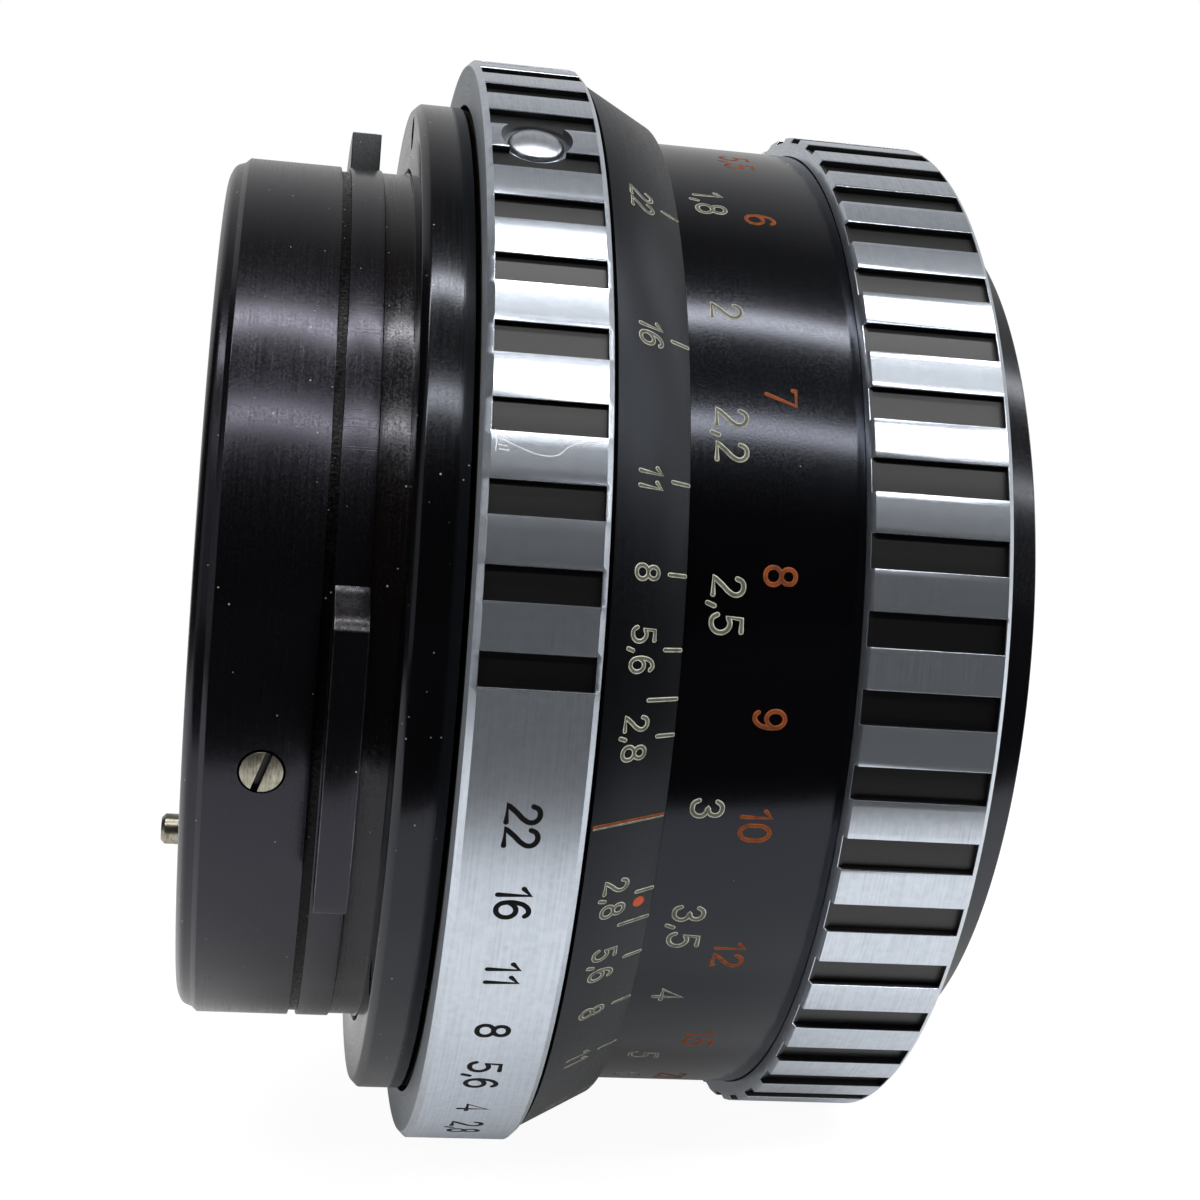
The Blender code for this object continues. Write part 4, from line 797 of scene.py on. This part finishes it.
# Glass turned from its section, with the ground edge lacquered black: node, finish, radius, and for the front and the
# rear face the edge's station and the radius of curvature
glasses = {
    "frontGlass": ("lens_1", "frontGlass", 18.6, (28.89, 50), (25.89, 180)),
    "crownGlass": ("lens_2", "innerGlass", 15.6, (22.16, 42), (20.86, 43.5)),
    "flintGlass": ("lens_3", "innerGlass", 15.6, (20.56, 43.5), (19.56, 45)),
    "innerGlass": ("lens_4", "innerGlass", 13.2, (12.76, -34), (9.76, -40)),
    "rearGlass": ("lens_5", "frontGlass", 14.4, (-3.74, 120), (-6.74, -60)),
}
glassRings, edgeDepth = 20, 0.02
for name, (node, finish, radius, *sides) in glasses.items():
    heights = [radius * i / glassRings for i in range(glassRings + 1)]
    faces = [[(edge + math.copysign(sag(curve, radius) - sag(curve, h), curve), h) for h in heights]
             for edge, curve in sides]
    bm = turnedRing({"profile": faces[0] + faces[1][::-1], "steps": 96, "closed": False})
    for f in bm.faces:
        f.material_index = 1 if away(f.calc_center_median()) > radius - edgeDepth else 0
    finishPiece(name, bm, [finish, "edgePaint"], "optics_unit", [node])
print("glass done")

# Cover of the iris, on the ends of its posts
irisCover = {"profile": [(17.2, 23.2), (17.0, 23.2), (17.0, 11.6), (17.2, 11.6)], "steps": 144}
finishPiece("irisCover", turnedRing(irisCover), ["innerBlack"], "optics_unit", [])

# Rear end: cell, retaining ring, plate with its screws, and the diaphragm pin with its coil
rearCell = {
    "profile": [(12.76, 24), (6.36, 24), (6.36, 17.4), (-8.54, 17.4), (-8.54, 14.7), (-3.44, 14.7), (-3.44, 12.4),
                (9.46, 12.4), (9.46, 13.5), (12.76, 13.5)],
    "steps": 144, "roundings": [{"limit": 40, "width": 0.12}],
}
finishPiece("rearCell", turnedRing(rearCell), ["innerBlack"], "optics_unit", ["rear_cell"])
retainer = {"profile": [(-7.04, 14.4), (-8.14, 14.4), (-8.14, 14.0), (-7.74, 13.6), (-7.04, 13.6)], "steps": 128,
            "notchTurns": (0, 180), "notchAt": (-8.14, 14.0), "notch": (1.2, 1.4, 1.1)}
notches = bmesh.new()
for angle in retainer["notchTurns"]:  # where a spanner turns it
    place = rearPlace(*retainer["notchAt"], angle) @ Matrix.Diagonal((*(Vector(retainer["notch"]) * mm), 1))
    bmesh.ops.create_cube(notches, size=1, matrix=place)
bm = drill(turnedRing(retainer), notches)
finishPiece("rearRetainer", bm, ["innerBlack"], "optics_unit", ["rear_retaining_ring"])
plate = {
    "profile": [(-9, 25.7), (-10.4, 25.7), (-10.4, 20), (-9, 20)], "rear": -10.4,
    "steps": 144, "roundings": [{"limit": 40, "width": 0.12}],
    "pinTurn": -39.5, "pinCircle": 24, "pinHole": 1.25, "pinSpan": (-2, 2),
}
plateScrew = {"radius": 1.0, "height": 0.35, "slotWidth": 0.3, "slotDepth": 0.25, "edge": 0.08, "face": -10.4,
              "top": -10.32, "turns": [(20, 80), (140, 200), (260, 320)], "circle": 22.9, "hole": 1.12,
              "holeSpan": (-0.5, 1)}
holes, screws = screwsAround(plateScrew)
pinPlace = rearPlace(plate["rear"], plate["pinCircle"], plate["pinTurn"])
joinInto(holes, rod(plate["pinHole"], plate["pinSpan"], pinPlace, segments=32))
bm = drill(turnedRing(plate), holes)
finishPiece("rearPlate", bm, ["innerBlack"], "mount", ["rear_plate"])
finishPiece("plateScrews", screws, ["nickel", "slotBlack"], "mount", [])
pin = {"profile": [(0.2, 0), (0.2, 0.95), (-8, 0.95), (-8, 1.5), (-8.7, 1.5), (-8.7, 0.95), (-13.12, 0.95),
                   (-13.35, 0.72), (-13.35, 0)], "steps": 40, "closed": False}
pinMiddle = outward(plate["pinTurn"]) * plate["pinCircle"] * mm
bm = turnedRing(pin)
bmesh.ops.translate(bm, verts=bm.verts, vec=pinMiddle)
finishPiece("diaphragmPin", bm, ["nickel"], "aperture_pin", ["aperture_pin"])
coil = {"radius": 1.4, "wire": 0.15, "turns": 6, "stepsPerTurn": 20, "rear": -7.54, "front": -2.06, "seat": -1.6,
        "pressed": 0.53}
bm = bmesh.new()
bmesh.ops.create_circle(bm, cap_ends=False, radius=coil["wire"] * mm, segments=10,
                        matrix=Matrix.Translation((coil["rear"] * mm, -coil["radius"] * mm, 0)))
steps = coil["turns"] * coil["stepsPerTurn"]
climb = (coil["front"] - coil["rear"]) / steps * mm
bmesh.ops.spin(bm, geom=bm.verts[:] + bm.edges[:], cent=(0, 0, 0), axis=spinAxis, dvec=(climb, 0, 0),
               angle=coil["turns"] * math.tau, steps=steps)
bmesh.ops.holes_fill(bm, edges=[e for e in bm.edges if len(e.link_faces) == 1], sides=0)
bmesh.ops.translate(bm, verts=bm.verts, vec=pinMiddle)
pinCoil = finishPiece("pinCoil", bm, ["nickel"], "mount", ["pin_spring"], sharp=60)
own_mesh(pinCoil)  # the coil gets a mesh of its own
print("rear end done")

# CAD nodes that stay as they are, mostly inside
carried = {
    "brass": ["focus_nut", "iris_drive_ring"],
    "oldBrass": ["fixed_barrel"],
    "nickel": ["guide_pin"],
    "innerBlack": ["optics_barrel", "front_cell", "iris_base", "pin_guide_ring"],
    "bladeSteel": [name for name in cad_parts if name.startswith("iris_blade_")],
}
for finish, names in carried.items():
    for name in names:
        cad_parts[name].data.materials.clear()
        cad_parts[name].data.materials.append(finishes[finish])
print("carried nodes dressed:", sum(len(names) for names in carried.values()))

# Stage: table, cards that only reflections see, two strip lights and a white surround; the cards are painted
# reflections, highlights and shadows
scene.view_settings.view_transform = "Standard"


def setStage(name, bm, material, reflectedOnly=True):
    prop = linkMesh(name, bm, [material])
    # a prop that only reflections see is a painted reflection
    if reflectedOnly:
        for ray in ("camera", "diffuse", "shadow", "transmission", "volume_scatter"):
            setattr(prop, "visible_" + ray, False)


def glowing(name, strength):
    # a sheet that glows though it is no lamp, for the painted reflections
    material, tree, shader = startMaterial(name)
    setInputs(tree, shader, {"Base Color": linear("#000000"), "Roughness": 1.0, "Emission Color": white,
                             "Emission Strength": strength})
    return material


def flatOnTable(rear, front, near, far, lift=0.0):
    # the lens lies on its widest ring, so in its own frame the table rises toward the front
    bm = bmesh.new()
    bmesh.ops.create_grid(bm, x_segments=1, y_segments=1, size=0.5)
    for v in bm.verts:
        x = rear if v.co.x < 0 else front
        height = table["touch"][1] + lift + (x - table["touch"][0]) * table["rise"]
        v.co = Vector((x, near if v.co.y < 0 else far, height)) * mm
    return bm


def bentCard(card):
    # bent round the lens axis
    bm = bmesh.new()
    section = [(card["rear"], card["radius"]), (card["front"], card["radius"])]
    for start, sweep in card["spans"]:
        turned(bm, section, start, sweep, card["steps"], closed=False)
    return bm


# glossGlow and the fade after it: the share of glow that reflections see far from the lens and under it, and the span
# of Y in mm between them; less glow under the lens is a painted shadow
table = {"touch": (10.5, -38.05), "rise": 0.1245, "reach": 3000, "colour": "#fafafa", "roughness": 0.9, "glow": 0.86,
         "glowStrength": 1.1, "glossGlow": (0.37, 0.1), "paintedShadowFade": (-34, 4)}
tableTop, tree, shader = startMaterial("paper, white matt")
setInputs(tree, shader, {"Base Color": linear(table["colour"]), "Roughness": table["roughness"]})
path = addNode(tree, "LightPath")
seen = addNode(tree, "Math", [
    path.outputs["Is Camera Ray"], path.outputs["Is Transmission Ray"]], operation="MAXIMUM")
share = addNode(tree, "Math", [seen, table["glow"]], operation="MULTIPLY")
place = addNode(tree, "TexCoord").outputs["Object"]
split = addNode(tree, "SeparateXYZ", [place])
under = addNode(tree, "MapRange", [
    split.outputs[1], *(edge * mm for edge in table["paintedShadowFade"]), *table["glossGlow"]])
share = addNode(tree, "Math", [  # reflections see the table's glow turned down under the lens, a painted shadow added to the real one
    path.outputs["Is Glossy Ray"], under, share], operation="MULTIPLY_ADD")
glow = addNode(tree, "Emission", {"Color": white, "Strength": table["glowStrength"]})
mixed = addNode(tree, "MixShader", [share, shader, glow])
setInputs(tree, tree.nodes["Material Output"], {"Surface": mixed})
reach = table["reach"]
setStage("table", flatOnTable(-reach, reach, -reach, reach), tableTop, reflectedOnly=False)

# Dark sheets lying on the table that only reflections see: a painted dark reflection of the room past the table's front
# edge, and a painted shadow on the table ahead of the front ring
tableCards = {"bright": 0.008, "lift": 0.4, "spans": {  # rear, front, near and far in mm
    "tableCard": (-900, 2500, -900, -58), "frontShadowCard": (62, 160, -58, -37)}}
darkReflectionGlow = glowing("card, painted dark reflection", tableCards["bright"])
for name, span in tableCards["spans"].items():
    setStage(name, flatOnTable(*span, tableCards["lift"]), darkReflectionGlow)

# A sheet bent round the lens that only reflections see: a painted reflection of the room, near black toward the viewer,
# grey about the strips and paler overhead toward the back
paintedRoomCard = {"rear": -900, "front": 2500, "radius": 900, "steps": 64, "spans": [(-8, 184)],  # start and sweep
             "greys": [(-10, 0.007), (27, 0.012), (35, 0.1), (54, 0.13), (82, 0.1), (96, 0.1), (112, 0.36), (130, 0.52),
                       (176, 0.65)]}  # turn in degrees and brightness
lowest, highest = paintedRoomCard["greys"][0][0], paintedRoomCard["greys"][-1][0]
roomReflectionGlow = glowing("card, painted room reflection", 1.0)
tree = roomReflectionGlow.node_tree
place = addNode(tree, "TexCoord").outputs["Object"]
split = addNode(tree, "SeparateXYZ", [place])
toViewer = addNode(tree, "Math", [split.outputs[1], -1.0], operation="MULTIPLY")
turn = addNode(tree, "Math", [split.outputs[2], toViewer], operation="ARCTAN2")
share = addNode(tree, "MapRange", [turn, math.radians(lowest), math.radians(highest), 0.0, 1.0])
ramp = addNode(tree, "ValToRGB", [share])
colourStops = ramp.color_ramp.elements
for i, (angle, grey) in enumerate(paintedRoomCard["greys"]):
    spot = (angle - lowest) / (highest - lowest)
    colourStop = colourStops[i] if i < len(colourStops) else colourStops.new(spot)
    colourStop.position = spot
    colourStop.color = (grey, grey, grey, 1)
setInputs(tree, tree.nodes["Principled BSDF"], {"Emission Color": ramp})
setStage("paintedRoomCard", bentCard(paintedRoomCard), roomReflectionGlow)

# Painted highlights on the front ring: two glowing bands that only reflections see, standing in for the strips' far
# ends
frontHighlightCards = {"rear": 480, "front": 2400, "radius": 620, "steps": 12, "spans": [(60, 7), (95, 6)], "bright": 6.5}
highlightGlow = glowing("card, painted highlight", frontHighlightCards["bright"])
setStage("frontHighlightCard", bentCard(frontHighlightCards), highlightGlow)

# Upright sheets past the rear end that only reflections see: painted reflections, dark toward the back and middle grey
# toward the viewer
endCards = {"station": -0.9, "height": 1.5, "lift": 0.4, "bright": 0.42,  # in metres, beyond the rear end of the lens
            "endCard": (-0.1, 1.3), "sideCard": (-0.9, -0.1)}
greyReflectionGlow = glowing("card, painted grey reflection", endCards["bright"])
for name, material in (("endCard", darkReflectionGlow), ("sideCard", greyReflectionGlow)):
    near, far = endCards[name]
    bm = bmesh.new()
    bmesh.ops.create_grid(
        bm, x_segments=1, y_segments=1, size=0.5,
        matrix=Matrix.Translation((endCards["station"], (near + far) / 2, endCards["lift"]))
        @ Matrix.Rotation(math.pi / 2, 4, "Y") @ Matrix.Diagonal((endCards["height"], far - near, 1, 1)))
    setStage(name, bm, material)

strips = {"far": 620, "width": 50, "rear": -520, "energy": 4,  # mm, and watts from a square metre of brightness 1
          "lamps": {"lowerStrip": (43.5, 950, 9.8), "upperStrip": (71, 450, 13.6)}}  # turn, front end, brightness
for name, (angle, frontEnd, bright) in strips["lamps"].items():
    lamp = bpy.data.lights.new(name, "AREA")
    lamp.shape = "RECTANGLE"
    lamp.size = (frontEnd - strips["rear"]) * mm
    lamp.size_y = strips["width"] * mm
    lamp.energy = bright * strips["energy"] * lamp.size * lamp.size_y
    post = bpy.data.objects.new(name, lamp)
    post.matrix_world = sidePlace((strips["rear"] + frontEnd) / 2, strips["far"], angle)
    post.visible_camera = False
    scene.collection.objects.link(post)

surround = {"fill": 0.45, "seen": 1.0}
world = scene.world or bpy.data.worlds.new("surround")
scene.world = world
world.use_nodes = True
tree = world.node_tree
path = addNode(tree, "LightPath")
seen = addNode(tree, "Math", [
    path.outputs["Is Camera Ray"], path.outputs["Is Glossy Ray"]], operation="MAXIMUM")
seen = addNode(tree, "Math", [seen, path.outputs["Is Transmission Ray"]], operation="MAXIMUM")
level = addNode(tree, "MapRange", [seen, 0.0, 1.0, surround["fill"], surround["seen"]])
setInputs(tree, tree.nodes["Background"], {"Color": white, "Strength": level})
print("stage done")
